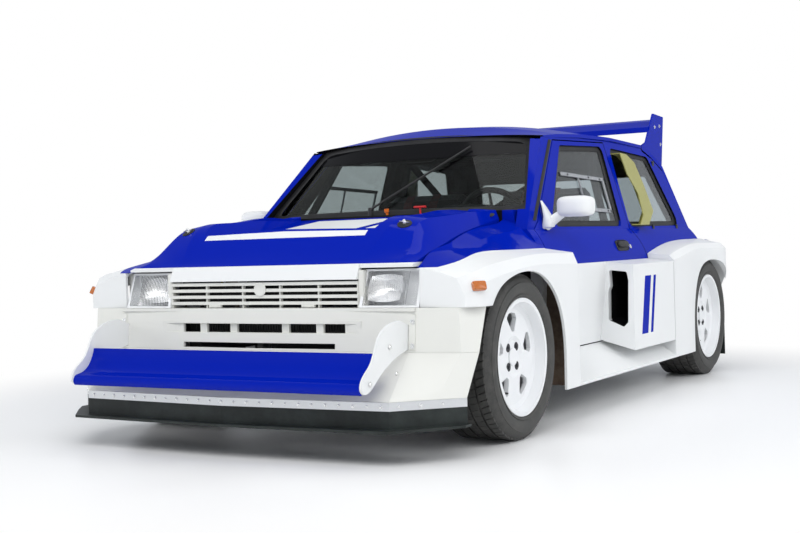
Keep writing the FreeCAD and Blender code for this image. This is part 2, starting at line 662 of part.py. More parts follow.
def mirror_shell():
    y_middle = along(DOOR_WINDOW_SHARES[0][0])
    low = up(MIRROR_FOOT_SHARE)
    outer = []
    for across, shrink in MIRROR_SHARES:
        x = MIRROR_IN_X + MIRROR_WIDTH * across
        deep = MIRROR_DEPTH * shrink
        tall = MIRROR_HEIGHT * shrink
        outer.append(ring_wire([Vector(x, y_middle + deep * y, low + tall * z)
                                for y, z in MIRROR_SECTION_SHARES]))
    shell = Part.makeLoft(outer, True, True)
    foot = Vector(BELT_X - SIDE_WALL / 4, along(DOOR_SHARES[2][0]) + MIRROR_DEPTH / 2, BELT_HEIGHT)
    head = Vector(MIRROR_IN_X + MIRROR_STALK_RADIUS * 2, y_middle, low + MIRROR_STALK_RADIUS)
    stalk = rod(foot, head, MIRROR_STALK_RADIUS)
    panel = side_skin(-SEAT_GAP, SIDE_WALL, along(0), along(1.0))
    return shell.fuse(stalk.cut(panel)).removeSplitter()


def lid_hinge_axis():
    return along(ROOF_SHARES[-1][1]) + LID_GAP / 2, up(ROOF_SHARES[-1][4])


def lid_hinges():
    y, z = lid_hinge_axis()
    third = HINGE_HEIGHT / 3
    fixed = []
    moving = []
    for x in (-LID_HINGE_X, LID_HINGE_X):
        start = x - HINGE_HEIGHT / 2
        barrel = Part.makeCylinder(HINGE_RADIUS, HINGE_HEIGHT, Vector(start, y, z), Vector(1, 0, 0))
        foot = box(start, start + HINGE_HEIGHT, y - 5 * HINGE_RADIUS, y, z - 2 * HINGE_RADIUS, z)
        gap = box(start + third, start + 2 * third, y - HINGE_RADIUS - HINGE_RUNNING, y + 2 * HINGE_RADIUS,
                  z - 3 * HINGE_RADIUS, z + 2 * HINGE_RADIUS)
        pin = Part.makeCylinder(HINGE_PIN_RADIUS, HINGE_HEIGHT, Vector(start, y, z), Vector(1, 0, 0))
        fixed.append(barrel.fuse(foot).cut(gap).fuse(pin))
        low = start + third + HINGE_RUNNING
        wide = third - 2 * HINGE_RUNNING
        sleeve = Part.makeCylinder(HINGE_RADIUS, wide, Vector(low, y, z), Vector(1, 0, 0))
        arm = box(low, low + wide, y, y + 5 * HINGE_RADIUS, z - 3 * HINGE_RADIUS, z)
        bore = Part.makeCylinder(HINGE_PIN_RADIUS + HINGE_RUNNING, wide, Vector(low, y, z), Vector(1, 0, 0))
        moving.append(sleeve.fuse(arm).cut(bore))
    return fixed, moving


def roof():
    panel = crowned(ROOF_SHARES, 0, ROOF_SKIN, 1.0)
    panel = panel.cut(crowned(SCREEN_SHARES, -4 * OVERRUN, GLASS + SEAT_GAP, SCREEN_CUT_SHARE))
    fixed, moving = lid_hinges()
    save("roof", [fused([panel] + fixed)])


def windscreen():
    save("windscreen", [crowned(SCREEN_SHARES, 0, GLASS, 1.0)])


def scuttle():
    front = along(BONNET_SHARES[-1][0]) + LID_GAP
    back = along(SCREEN_SHARES[0][3]) + SIDE_WALL
    slab = cabin_slab(SIDE_WALL + 2 * LID_GAP, front, back, up(SCUTTLE_SHARES[0]), up(SCUTTLE_SHARES[1]))
    slab = slab.cut(crowned(SCREEN_SHARES, -2 * OVERRUN, GLASS + SEAT_GAP, SCREEN_CUT_SHARE))
    inner_x = out(BONNET_SHARES[-1][1][0])
    fender_back = along(FENDER_SHARES[-1][0]) + SEAT_GAP
    for low_x in (inner_x, -inner_x - SIDE_WALL * 4):
        slab = slab.cut(box(low_x, low_x + SIDE_WALL * 4, front - OVERRUN, fender_back, 0, ROOF_HEIGHT))
    save("scuttle", solids_of(slab))


def tailgate_aperture(shrink):
    top_share, bottom_share = TAILGATE_GLASS_SHARES
    top = (out(top_share[0]) - shrink, up(top_share[1]) - shrink)
    low = (out(bottom_share[0]) - shrink, up(bottom_share[1]) + shrink)
    points = [(-low[0], low[1]), (low[0], low[1]), top, (-top[0], top[1])]
    return prism_y(points, along(TAILGATE_SHARES[0][1]), behind(2.0))


def tailgate():
    lid = crowned(TAILGATE_SHARES, 0, LID_SKIN, 1.0)
    lid = lid.cut(tailgate_aperture(0))
    edge = along(ROOF_SHARES[-1][1]) + LID_GAP
    lid = lid.cut(box(-HALF_WIDTH, HALF_WIDTH, along(0), edge, 0, 2 * ROOF_HEIGHT))
    fixed, moving = lid_hinges()
    y, z = lid_hinge_axis()
    for x in (-LID_HINGE_X, LID_HINGE_X):
        room = Part.makeCylinder(HINGE_RADIUS + DOOR_GAP, HINGE_HEIGHT + 2 * DOOR_GAP,
                                 Vector(x - HINGE_HEIGHT / 2 - DOOR_GAP, y, z), Vector(1, 0, 0))
        lid = lid.cut(room)
    save("tailgate", [largest(fused([lid] + moving))])
    pane = crowned(TAILGATE_SHARES, GLASS, 2 * GLASS, 1.0)
    pane = pane.common(tailgate_aperture(SEAT_GAP))
    save("tailgate_glass", solids_of(pane))
    lid_and_above = crowned(TAILGATE_SHARES, -SEAT_GAP / 2, LID_SKIN * 4, LID_CUT_SHARE)
    plate = prism_x(tail_points(WING_PLATE_SHARES), WING_HALF_SPAN - WING_PLATE, WING_HALF_SPAN)
    plate = plate.cut(lid_and_above)
    plate = largest(plate)
    reach = WING_HALF_SPAN - WING_PLATE / 2
    blade = prism_x(tail_points(WING_BLADE_SHARES), -reach, reach)
    save("rear_wing", [fused([plate, mirrored(plate), blade])])


def quarter_windows():
    pane = side_skin(GLASS_SET_IN, GLASS_SET_IN + GLASS, along(0), behind(1.0))
    pane = pane.common(window_prism(QUARTER_WINDOW_SHARES, -SEAT_GAP))
    save("quarter_windows", pair(pane))
    stand = SIDE_WALL * SCOOP_STAND_SHARE
    proud = side_skin(-stand, GLASS_SET_IN - SEAT_GAP, along(0), behind(1.0))
    scoop = proud.common(prism_x(side_points(SCOOP_SHARES), 0, 2 * HALF_WIDTH))
    hollow = side_skin(-stand + GLASS, GLASS_SET_IN + GLASS, along(0), behind(1.0))
    shifted = grown_prism_x(side_points(SCOOP_SHARES), -GLASS, 0, 2 * HALF_WIDTH)
    shifted.translate(Vector(0, -GLASS * 3, 0))
    scoop = scoop.cut(hollow.common(shifted))
    save("window_scoops", pair(scoop))


def flare_section(y, points, low_z, inner_x):
    wire = [Vector(inner_x, y, low_z), Vector(points[0][0], y, low_z)]
    wire += [Vector(x, y, z) for x, z in points]
    wire.append(Vector(inner_x, y, points[-1][1]))
    return wire


def front_fenders():
    outer = []
    inner = []
    count = len(FENDER_SHARES)
    for index, row in enumerate(FENDER_SHARES):
        y = along(row[0])
        points = [(out(x), up(z)) for x, z in row[1:]]
        low = SILL_HEIGHT
        outer.append(ring_wire([Vector(points[-1][0], y, low), Vector(points[0][0], y, low)]
                               + [Vector(x, y, z) for x, z in points]))
        shift = SKIN if index == 0 else -SKIN if index == count - 1 else 0
        cave = [Vector(points[-1][0] - OVERRUN, y + shift, low - OVERRUN),
                Vector(points[0][0] - SKIN, y + shift, low - OVERRUN)]
        cave += [Vector(x - SKIN, y + shift, z - SKIN) for x, z in points[:-1]]
        cave.append(Vector(points[-1][0] - OVERRUN, y + shift, points[-1][1] - SKIN))
        inner.append(ring_wire(cave))
    fender = Part.makeLoft(outer, True, False).cut(Part.makeLoft(inner, True, False))
    arch = arch_prism(FRONT_ARCH_SHARES, FRONT_AXLE_Y, HALF_WIDTH - HALF_TRACK / 4, 2 * HALF_WIDTH)
    fender = fender.cut(arch)
    chin_zone = box(0, 2 * HALF_WIDTH, ahead(1.0), FRONT_AXLE_Y, 0, BUMPER_TOP)
    fender = fender.cut(chin_zone)
    lamp_zone = box(0, LAMP_OUTER_X + LAMP_GAP, ahead(1.0), ahead(LAMP_ROOM_SHARE), 0, LAMP_TOP + LAMP_GAP)
    fender = fender.cut(lamp_zone)
    side_front = along(SIDE_SHARES[0][0])
    fender = fender.cut(side_skin(-SEAT_GAP, SIDE_WALL, side_front, along(0.5)))
    fender = fender.cut(cabin_slab(-SEAT_GAP, side_front - SEAT_GAP, along(0.5), 0, up(SIDE_SHARES[1][1])))
    save("front_fenders", pair(largest(fender)))


def rear_flares():
    outer = []
    for row in REAR_FLARE_SHARES:
        y = along(row[0])
        points = [(out(x), up(z)) for x, z in row[1:]]
        outer.append(ring_wire(flare_section(y, points, SILL_HEIGHT, out(REAR_FLARE_INNER_SHARE))))
    flare = Part.makeLoft(outer, True, False)
    flare = flare.cut(side_skin(-SEAT_GAP, 2 * SIDE_WALL, along(0), behind(1.0)))
    lip = HALF_WIDTH - ARCH_FACE_DEPTH
    well = wheel_well(REAR_AXLE_Y, 0, WELL_RADIUS - WELL_CLEARANCE / 4)
    flare = flare.cut(well.common(box(0, lip, -LENGTH, LENGTH, -OVERRUN, ROOF_HEIGHT)))
    flare = flare.cut(arch_prism(REAR_ARCH_SHARES, REAR_AXLE_Y, lip - ARCH_FACE_DEPTH, 2 * HALF_WIDTH))
    heel = box(0, 2 * HALF_WIDTH, REAR_AXLE_Y, behind(1.0), 0, AXLE_HEIGHT)
    flare = flare.cut(heel)
    save("rear_flares", pair(largest(flare)))


def side_sills():
    front = along(FENDER_SHARES[-1][0]) + SEAT_GAP
    back = along(REAR_FLARE_SHARES[0][0]) - SEAT_GAP
    points = [(DOOR_FOOT_X, SILL_HEIGHT), (HALF_WIDTH, SILL_HEIGHT), (HALF_WIDTH, SILL_HEIGHT + SKIN),
              (DOOR_FOOT_X, DOOR_FOOT_HEIGHT - DOOR_GAP)]
    sill = prism_y(points, front, back)
    sill = sill.cut(side_skin(-SEAT_GAP, SIDE_WALL, along(0), behind(1.0)))
    save("side_sills", pair(sill))


def plan_points(shares):
    half = [(out(x), ahead(y)) for y, x in shares]
    return half


def plan_wire(shares, z, thickness):
    front = plan_points(shares)
    back = [(x - (thickness if index == len(front) - 1 else 0), y + thickness)
            for index, (x, y) in enumerate(front)]
    half = [Vector(x, y, z) for x, y in front] + [Vector(x, y, z) for x, y in reversed(back)]
    return ring_wire(half)


def nose_band(top_shares, foot_shares, high, low, thickness):
    wires = [plan_wire(foot_shares, low, thickness), plan_wire(top_shares, high, thickness)]
    half = Part.makeLoft(wires, True, True)
    return half.fuse(mirrored(half)).removeSplitter()


def front_bumper():
    band = nose_band(BUMPER_TOP_SHARES, BUMPER_FOOT_SHARES, BUMPER_TOP, CHIN_TOP, SKIN)
    low = UPPER_SLOT_MIDDLE - UPPER_SLOT_HEIGHT / 2
    high = UPPER_SLOT_MIDDLE + UPPER_SLOT_HEIGHT / 2
    floor_x = out(RECESS_SHARES[0])
    mouth_x = out(RECESS_SHARES[1])
    floor_y = ahead(RECESS_FLOOR_SHARE)
    band = band.fuse(box(-mouth_x, mouth_x, floor_y - SKIN / 2, floor_y + SKIN, low - SKIN, high + SKIN))
    recess = [(-mouth_x, ahead(1.0)), (-mouth_x, ahead(BUMPER_FOOT_SHARES[1][0])), (-floor_x, floor_y),
              (floor_x, floor_y), (mouth_x, ahead(BUMPER_FOOT_SHARES[1][0])), (mouth_x, ahead(1.0))]
    band = band.cut(prism_z(recess, low, high))
    for start, end in UPPER_SLOT_SHARES:
        band = band.cut(box(out(start), out(end), ahead(1.0), FRONT_AXLE_Y, low, high))
    lower = box(-LOWER_SLOT_WIDTH / 2, LOWER_SLOT_WIDTH / 2, ahead(1.0), FRONT_AXLE_Y,
                LOWER_SLOT_MIDDLE - LOWER_SLOT_HEIGHT / 2, LOWER_SLOT_MIDDLE + LOWER_SLOT_HEIGHT / 2)
    band = band.cut(lower)
    front, back = [ahead(share) for share in SHELF_SHARES]
    shelf = box(-LAMP_OUTER_X, LAMP_OUTER_X, front, back, BUMPER_TOP - SKIN, BUMPER_TOP)
    save("front_bumper", [fused([band, shelf])])
    chin = nose_band(CHIN_TOP_SHARES, CHIN_FOOT_SHARES, CHIN_TOP - SEAT_GAP, CHIN_BOTTOM, SKIN)
    save("chin_panel", [chin])


def front_splitter():
    outline = CHIN_FOOT_SHARES
    low = CHIN_BOTTOM - STRIP_HEIGHT
    save("skirt_strip", [nose_band(outline, outline, CHIN_BOTTOM - SEAT_GAP, low, SKIN)])
    skirt = nose_band(outline, outline, low - SEAT_GAP, SPLITTER_TOP, SKIN)
    front = plan_points(SPLITTER_SHARES)
    back_y = ahead(SPLITTER_BACK_SHARE)
    half = front + [(front[-1][0], back_y), (0, back_y)]
    plate = prism_z(half, SPLITTER_TOP - SPLITTER_THICKNESS, SPLITTER_TOP)
    save("front_splitter", [fused([skirt, plate, mirrored(plate)])])


def nose_wing():
    curve = nose_points(NOSE_BLADE_SHARES)
    inner = [(y + NOSE_WING_SKIN, z - NOSE_WING_SKIN) for y, z in curve[:-1]]
    inner = list(reversed(inner + [(curve[-1][0] + NOSE_WING_SKIN, curve[-1][1])]))
    chains = [curve, [curve[-1], inner[0]], inner, [inner[-1], curve[0]]]
    blade = chained_prism_x(chains, -NOSE_WING_HALF_SPAN, NOSE_WING_HALF_SPAN)
    save("nose_wing", [blade])
    low_x = NOSE_WING_HALF_SPAN + SEAT_GAP
    chains = [nose_points(chain) for chain in NOSE_PLATE_SHARES]
    plate = chained_prism_x(chains, low_x, low_x + NOSE_PLATE_THICKNESS)
    bumper = nose_band(BUMPER_TOP_SHARES, BUMPER_FOOT_SHARES, BUMPER_TOP, CHIN_TOP, SKIN + SEAT_GAP)
    chin = nose_band(CHIN_TOP_SHARES, CHIN_FOOT_SHARES, CHIN_TOP, CHIN_BOTTOM, SKIN + SEAT_GAP)
    plate = plate.cut(bumper).cut(chin)
    plate = sorted(plate.Solids, key=lambda solid: solid.BoundBox.YMin)[0]
    save("nose_wing_plates", pair(plate))


def headlamps():
    inset = LAMP_INNER_X
    low_in, low_out, high_in, high_out, back = [ahead(share) for share in LAMP_SHARES]
    seat = BUMPER_TOP + SEAT_GAP
    low = [Vector(inset, low_in, seat), Vector(LAMP_OUTER_X, low_out, seat), Vector(LAMP_OUTER_X, back, seat),
           Vector(inset, back, seat)]
    high = [Vector(inset + SKIN, high_in, LAMP_TOP), Vector(LAMP_OUTER_X, high_out, LAMP_TOP),
            Vector(LAMP_OUTER_X, back, LAMP_TOP), Vector(inset + SKIN, back, LAMP_TOP)]
    save("headlamps", pair(Part.makeLoft([ring_wire(low), ring_wire(high)], True, True)))


def grille():
    half = LAMP_INNER_X - LAMP_GAP
    low = BUMPER_TOP + SEAT_GAP
    high = up(BONNET_STRIP_SHARES[0][1]) - LID_GAP
    front = ahead(GRILLE_FRONT_SHARE)
    pitch = (high - low) / GRILLE_BARS
    pieces = []
    for index in range(GRILLE_BARS):
        top = high - index * pitch
        pieces.append(box(-half, half, front, front + GRILLE_DEPTH, top - GRILLE_BAR_HEIGHT, top))
    spacing = 2 * half / (GRILLE_DIVIDERS + 1)
    for index in range(GRILLE_DIVIDERS + 2):
        middle = -half + index * spacing
        middle = min(max(middle, -half + GRILLE_DIVIDER_WIDTH / 2), half - GRILLE_DIVIDER_WIDTH / 2)
        pieces.append(box(middle - GRILLE_DIVIDER_WIDTH / 2, middle + GRILLE_DIVIDER_WIDTH / 2,
                          front + GLASS, front + GRILLE_DEPTH, low, high))
    save("grille", [fused(pieces)])


def bonnet_wire(row, drop, inset, shift):
    y = along(row[0]) + shift
    points = [(out(x) - (inset if x > 0 else 0), up(z) - drop) for x, z in row[1:]]
    foot = up(BONNET_FOOT_SHARE) - drop
    right = [Vector(x, y, z) for x, z in points]
    left = [Vector(-x, y, z) for x, z in reversed(points[:-1])]
    top = right + left
    return ring_wire([Vector(-points[0][0], y, foot), Vector(points[0][0], y, foot)] + top)


def channel(inset):
    points = side_points(CHANNEL_SHARES)
    wedge = prism_x([(y, z) for y, z in points], -HALF_WIDTH, HALF_WIDTH)
    half = BONNET_CHANNEL_WIDTH / 2 + inset
    floor_z = min(z for y, z in points)
    top_z = max(z for y, z in points)
    spread = half + BONNET_CHANNEL_SPREAD
    bend_z = up(CHANNEL_WALL_SHARE)
    start, end = [along(share) for share in BONNET_END_SHARES]
    walls = prism_y([(-half, floor_z), (half, floor_z), (spread, bend_z), (spread, top_z), (-spread, top_z),
                     (-spread, bend_z)], start, end)
    cut = wedge.common(walls)
    if inset:
        cut = cut.fuse(cut.translated(Vector(0, -inset, 0))).fuse(cut.translated(Vector(0, 0, -inset)))
    return cut


def bonnet_hollow(drop):
    shifts = [LID_SKIN] + [0] * (len(BONNET_SHARES) - 2) + [-LID_SKIN]
    return Part.makeLoft([bonnet_wire(row, drop, LID_SKIN, shift)
                          for row, shift in zip(BONNET_SHARES, shifts)], True, False)


def bonnet_post(x, y, foot):
    shell = bonnet_shell()
    above = shell.fuse(shell.translated(Vector(0, 0, -SEAT_GAP)))
    post = Part.makeCylinder(BONNET_PIN_RADIUS, ROOF_HEIGHT - foot, Vector(x, y, foot))
    return sorted(post.cut(above).Solids, key=lambda solid: solid.BoundBox.ZMin)[0]


def bonnet_shell():
    outer = Part.makeLoft([bonnet_wire(row, 0, 0, 0) for row in BONNET_SHARES], True, False)
    inner = bonnet_hollow(LID_SKIN)
    trim = box(-HALF_WIDTH, HALF_WIDTH, -LENGTH, LENGTH, 0, LAMP_TOP + LID_GAP)
    under = prism_x(side_points(BONNET_UNDER_SHARES), -HALF_WIDTH, HALF_WIDTH)
    shell = outer.cut(channel(0)).cut(inner.cut(channel(LID_SKIN)))
    shell = shell.cut(under).cut(trim)
    strip = prism_x(side_points(BONNET_STRIP_SHARES), -LAMP_INNER_X + LAMP_GAP, LAMP_INNER_X - LAMP_GAP)
    return largest(fused([shell, strip]))


def bonnet():
    save("bonnet", [bonnet_shell()])


def floor_pan():
    front = along(SIDE_SHARES[0][0]) + BULKHEAD + SEAT_GAP
    back = REAR_AXLE_Y - WELL_RADIUS
    inner = DOOR_FOOT_X - SIDE_WALL - SEAT_GAP
    pieces = [box(-inner, inner, front, back, FLOOR_HEIGHT, FLOOR_HEIGHT + FLOOR_THICKNESS)]
    pieces.append(box(-TUNNEL_HALF_WIDTH, TUNNEL_HALF_WIDTH, front, along(CABIN_BACK_SHARE) - SEAT_GAP,
                      FLOOR_HEIGHT, FLOOR_HEIGHT + TUNNEL_HEIGHT))
    for y in (along(JACK_FRONT_SHARE), back - JACK_PAD * 2):
        for x in (-inner, inner - JACK_PAD):
            foot = FLOOR_HEIGHT - JACK_PAD_THICKNESS
            pieces.append(box(x, x + JACK_PAD, y, y + JACK_PAD, foot, FLOOR_HEIGHT))
    save("floor_pan", [fused(pieces)])


def bulkheads():
    front = along(SIDE_SHARES[0][0])
    inset = SIDE_WALL + SEAT_GAP
    wall = cabin_slab(inset, front, front + BULKHEAD, FLOOR_HEIGHT, up(SCUTTLE_SHARES[0]) - SEAT_GAP)
    post = bonnet_post(BONNET_PIN_X, front, up(BONNET_POST_SHARES[1]))
    save("bulkhead", [fused([wall, post, mirrored(post)])])
    back = along(CABIN_BACK_SHARE)
    foot = FLOOR_HEIGHT + FLOOR_THICKNESS + SEAT_GAP
    save("firewall", [cabin_slab(inset, back, back + BULKHEAD, foot, up(FIREWALL_TOP_SHARE))])


def rail_heights():
    low = AXLE_HEIGHT + BEAM_SIZE / 2
    return low, low + BEAM_SIZE


def front_rails():
    inner = BEAM_HALF_WIDTH
    back = along(SIDE_SHARES[0][0]) - SEAT_GAP
    low, high = rail_heights()
    rail = box(inner, inner + BEAM_SIZE, ahead(RAIL_FRONT_SHARE), back, low, high)
    post = bonnet_post(inner + BEAM_SIZE / 2, ahead(BONNET_POST_SHARES[0]), low)
    save("front_rails", pair(rail.fuse(post)))


def well_shell(axle_y, inner_x, outer_x, radius):
    outer = Part.makeCylinder(radius + WELL_WALL, outer_x - inner_x + WELL_WALL,
                              Vector(inner_x - WELL_WALL, axle_y, AXLE_HEIGHT), Vector(1, 0, 0))
    hollow = Part.makeCylinder(radius, outer_x - inner_x + OVERRUN, Vector(inner_x, axle_y, AXLE_HEIGHT),
                               Vector(1, 0, 0))
    shell = outer.cut(hollow)
    keep = box(0, HALF_WIDTH, axle_y - 2 * radius, axle_y + 2 * radius, rail_heights()[0], ROOF_HEIGHT)
    return shell.common(keep)


def tow_eye():
    radius = TOW_EYE_RADIUS + TOW_EYE_WALL
    middle = Vector(TOW_EYE_X, behind(TAIL_BEAM_SHARE) + BULKHEAD + radius, rail_heights()[0])
    eye = Part.makeCylinder(radius, TOW_EYE_THICKNESS, middle)
    root = box(middle.x - radius, middle.x + radius, middle.y - radius, middle.y, middle.z,
               middle.z + TOW_EYE_THICKNESS)
    bore = Part.makeCylinder(TOW_EYE_RADIUS, TOW_EYE_THICKNESS, middle)
    return eye.fuse(root).cut(bore)


def rear_frame():
    inner = BEAM_HALF_WIDTH
    outer = BEAM_HALF_WIDTH + BEAM_SIZE
    low, high = rail_heights()
    front = along(CABIN_BACK_SHARE) + BULKHEAD + SEAT_GAP
    tail = behind(TAIL_BEAM_SHARE)
    rail = box(inner, outer, front, tail, low, high)
    link = box(inner, REAR_WELL_INNER_X, front, REAR_AXLE_Y - BEAM_SIZE, high - BEAM_SIZE / 4, high)
    start = Vector(REAR_WELL_INNER_X - WELL_WALL - SEAT_GAP, REAR_AXLE_Y, AXLE_HEIGHT)
    link = link.cut(Part.makeCylinder(WELL_RADIUS + WELL_WALL + SEAT_GAP, HALF_WIDTH, start, Vector(1, 0, 0)))
    beam = box(-outer, outer, tail, tail + BULKHEAD, low - BEAM_SIZE / 2, up(TAIL_BEAM_TOP_SHARE))
    deck = box(-outer, outer, behind(DECK_FRONT_SHARE), tail, high - BEAM_SIZE / 2, high)
    save("rear_frame", [fused([rail, mirrored(rail), link, mirrored(link), beam, deck, tow_eye()])])


def rear_wheelhouses():
    save("rear_wheelhouses", pair(wheelhouse()))


def wheelhouse():
    return well_shell(REAR_AXLE_Y, REAR_WELL_INNER_X, DOOR_FOOT_X - SIDE_WALL - SEAT_GAP, WELL_RADIUS)


def profile_wheel(points):
    wire = ring_wire([Vector(x, 0, z) for x, z in points])
    return Part.Face(wire).revolve(Vector(0, 0, 0), Vector(1, 0, 0), 360)


def rim():
    half = RIM_WIDTH / 2
    lip = RIM_RADIUS
    seat = RIM_RADIUS - RIM_LIP
    well = seat - RIM_WELL_DROP
    wall = RIM_WALL
    face = half - DISC_SET_IN
    barrel = profile_wheel([(-half, lip), (-half + wall, lip), (-half + 2 * wall, seat), (half / 4, seat),
                            (half / 2, well), (face - wall, well), (face, seat), (half - 2 * wall, seat),
                            (half - wall, lip), (half, lip), (half, seat - wall),
                            (face + wall, seat - wall - wall), (face, well - wall),
                            (half / 2 - wall, well - wall), (half / 4 - wall, seat - wall),
                            (-half + wall, seat - wall), (-half, seat)])
    disc = profile_wheel([(face - DISC_THICKNESS, 0), (face - DISC_THICKNESS, HUB_RADIUS),
                          (face - DISC_CONE, well - wall / 2), (face, well - wall / 2),
                          (face + DISC_CONE / 2, HUB_RADIUS + DISC_CONE), (face, HUB_RADIUS),
                          (face, 0)])
    solid = barrel.fuse(disc)
    outline = [(place * SLOT_OUTER_RADIUS, rise * SLOT_OUTER_RADIUS) for place, rise in RIM_SLOT_SHARES]
    slot = prism_x(outline, 0, RIM_WIDTH)
    for index in range(SLOT_COUNT):
        turned = slot.copy()
        turned.rotate(Vector(0, 0, 0), Vector(1, 0, 0), 360.0 * index / SLOT_COUNT)
        solid = solid.cut(turned)
    cap = Part.makeCylinder(HUB_CAP_RADIUS, HUB_CAP_HEIGHT, Vector(face - wall, 0, 0), Vector(1, 0, 0))
    start = Vector(face - DISC_THICKNESS - HUB_LENGTH, 0, 0)
    hub = Part.makeCylinder(HUB_RADIUS, HUB_LENGTH, start, Vector(1, 0, 0))
    bore = Part.makeCylinder(SPINDLE_RADIUS + HINGE_RUNNING / 4, HUB_LENGTH + DISC_THICKNESS / 2, start,
                             Vector(1, 0, 0))
    return fused([solid, cap, hub]).cut(bore)


def tyre():
    half = TYRE_WIDTH / 2
    tread = half - TYRE_SHOULDER
    seat = RIM_RADIUS - RIM_LIP + SEAT_GAP
    lip_clear = RIM_WIDTH / 2 - 2 * RIM_WALL - SEAT_GAP
    mid = (TYRE_RADIUS + seat) / 2
    outline = [(lip_clear, seat), (lip_clear + RIM_WALL, RIM_RADIUS), (half, RIM_RADIUS + TYRE_BULGE),
               (half + TYRE_BULGE / 2, mid), (half - TYRE_BULGE, TYRE_RADIUS - TYRE_SHOULDER),
               (tread, TYRE_RADIUS - TREAD_DROP / 2)]
    pitch = 2 * tread / (GROOVE_COUNT + 1)
    crown = []
    for index in range(GROOVE_COUNT):
        left = tread - (index + 1) * pitch + GROOVE_WIDTH / 2
        right = left - GROOVE_WIDTH
        floor = TYRE_RADIUS - GROOVE_DEPTH
        crown += [(left, TYRE_RADIUS), (left, floor), (right, floor), (right, TYRE_RADIUS)]
    points = outline + crown + [(-x, z) for x, z in reversed(outline)]
    return profile_wheel(points)


def wheels():
    for end, axle_y in (("front", FRONT_AXLE_Y), ("rear", REAR_AXLE_Y)):
        for side, flip in (("left", lambda shape: shape), ("right", mirrored)):
            place = Vector(HALF_TRACK, axle_y, AXLE_HEIGHT)
            save("rim_" + end + "_" + side, [flip(rim().translated(place))])
            save("tyre_" + end + "_" + side, [flip(tyre().translated(place))])


def spindle_end_x():
    return HALF_TRACK + RIM_WIDTH / 2 - DISC_SET_IN - DISC_THICKNESS - HINGE_RUNNING


def kingpin_point(axle_y, rise):
    lean = (KINGPIN_HEAD_X - KINGPIN_FOOT_X) / (KINGPIN_HEAD_HEIGHT - KINGPIN_FOOT_HEIGHT)
    return Vector(KINGPIN_FOOT_X + lean * rise, axle_y, KINGPIN_FOOT_HEIGHT + rise)


def upright_top():
    return AXLE_HEIGHT + UPRIGHT_TOP_SHARE * HUB_RADIUS


def upright(axle_y):
    hub_x = spindle_end_x()
    start_x = KINGPIN_FOOT_X
    spindle = rod(Vector(start_x, axle_y, AXLE_HEIGHT), Vector(hub_x, axle_y, AXLE_HEIGHT), SPINDLE_RADIUS)
    low = KINGPIN_FOOT_HEIGHT + STUD_HEIGHT
    plate = box(start_x - UPRIGHT_THICKNESS, start_x, axle_y - HUB_RADIUS, axle_y + HUB_RADIUS,
                low, upright_top())
    caliper = box(start_x - UPRIGHT_THICKNESS, start_x + UPRIGHT_THICKNESS, axle_y + HUB_RADIUS,
                  axle_y + HUB_RADIUS * 2, AXLE_HEIGHT - HUB_RADIUS, AXLE_HEIGHT + HUB_RADIUS)
    stud = rod(kingpin_point(axle_y, 0), kingpin_point(axle_y, 2 * STUD_HEIGHT), BALL_RADIUS / 2)
    ball = Part.makeSphere(BALL_RADIUS, kingpin_point(axle_y, 0))
    joint = Part.makeSphere(JOINT_RADIUS, kingpin_point(axle_y, AXLE_HEIGHT - KINGPIN_FOOT_HEIGHT))
    return fused([spindle, plate, caliper, stud, ball, joint])


def strut(axle_y):
    low = upright_top() - HUB_RADIUS - KINGPIN_FOOT_HEIGHT
    high = KINGPIN_HEAD_HEIGHT - KINGPIN_FOOT_HEIGHT
    return rod(kingpin_point(axle_y, low), kingpin_point(axle_y, high), STRUT_RADIUS)


def knuckles():
    for side, flip in (("left", lambda shape: shape), ("right", mirrored)):
        solid = fused([upright(FRONT_AXLE_Y), strut(FRONT_AXLE_Y)])
        save("knuckle_" + side, [flip(solid)])
    rear = fused([upright(REAR_AXLE_Y), strut(REAR_AXLE_Y)])
    rear = rear.cut(wheelhouse())
    save("rear_uprights", pair(rear))


def arms(axle_y):
    centre = kingpin_point(axle_y, 0)
    ball = centre - Vector(0, 0, ARM_RADIUS)
    seat = ball - Vector(0, 0, ARM_RADIUS)
    pieces = [Part.makeCylinder(ARM_RADIUS + BALL_RADIUS / 2, 2 * ARM_RADIUS, seat)]
    for reach in (-1, 1):
        inner = Vector(BEAM_HALF_WIDTH, axle_y + reach * WELL_RADIUS / 2, ball.z)
        pieces.append(rod(inner, ball, ARM_RADIUS))
    return [fused(pieces).cut(Part.makeSphere(BALL_RADIUS + SEAT_GAP, centre))]


def suspension(name, axle_y, shaft_start):
    reach = WELL_RADIUS / 2 + BEAM_SIZE / 2
    beam = box(0, BEAM_HALF_WIDTH, axle_y - reach, axle_y + reach, KINGPIN_FOOT_HEIGHT - BEAM_SIZE / 2,
               KINGPIN_FOOT_HEIGHT + BEAM_SIZE / 2)
    post = box(BEAM_HALF_WIDTH - BEAM_SIZE / 2, BEAM_HALF_WIDTH - SEAT_GAP, axle_y - BEAM_SIZE / 2,
               axle_y + BEAM_SIZE / 2, KINGPIN_FOOT_HEIGHT, rail_heights()[1])
    joint = kingpin_point(axle_y, AXLE_HEIGHT - KINGPIN_FOOT_HEIGHT)
    shaft_end = joint - Vector(JOINT_RADIUS + SEAT_GAP, 0, 0)
    shaft = rod(Vector(shaft_start, axle_y, AXLE_HEIGHT), shaft_end, SHAFT_RADIUS)
    half = fused([beam, post, shaft] + arms(axle_y))
    solid = fused([half, mirrored(half)])
    save(name, [solid])


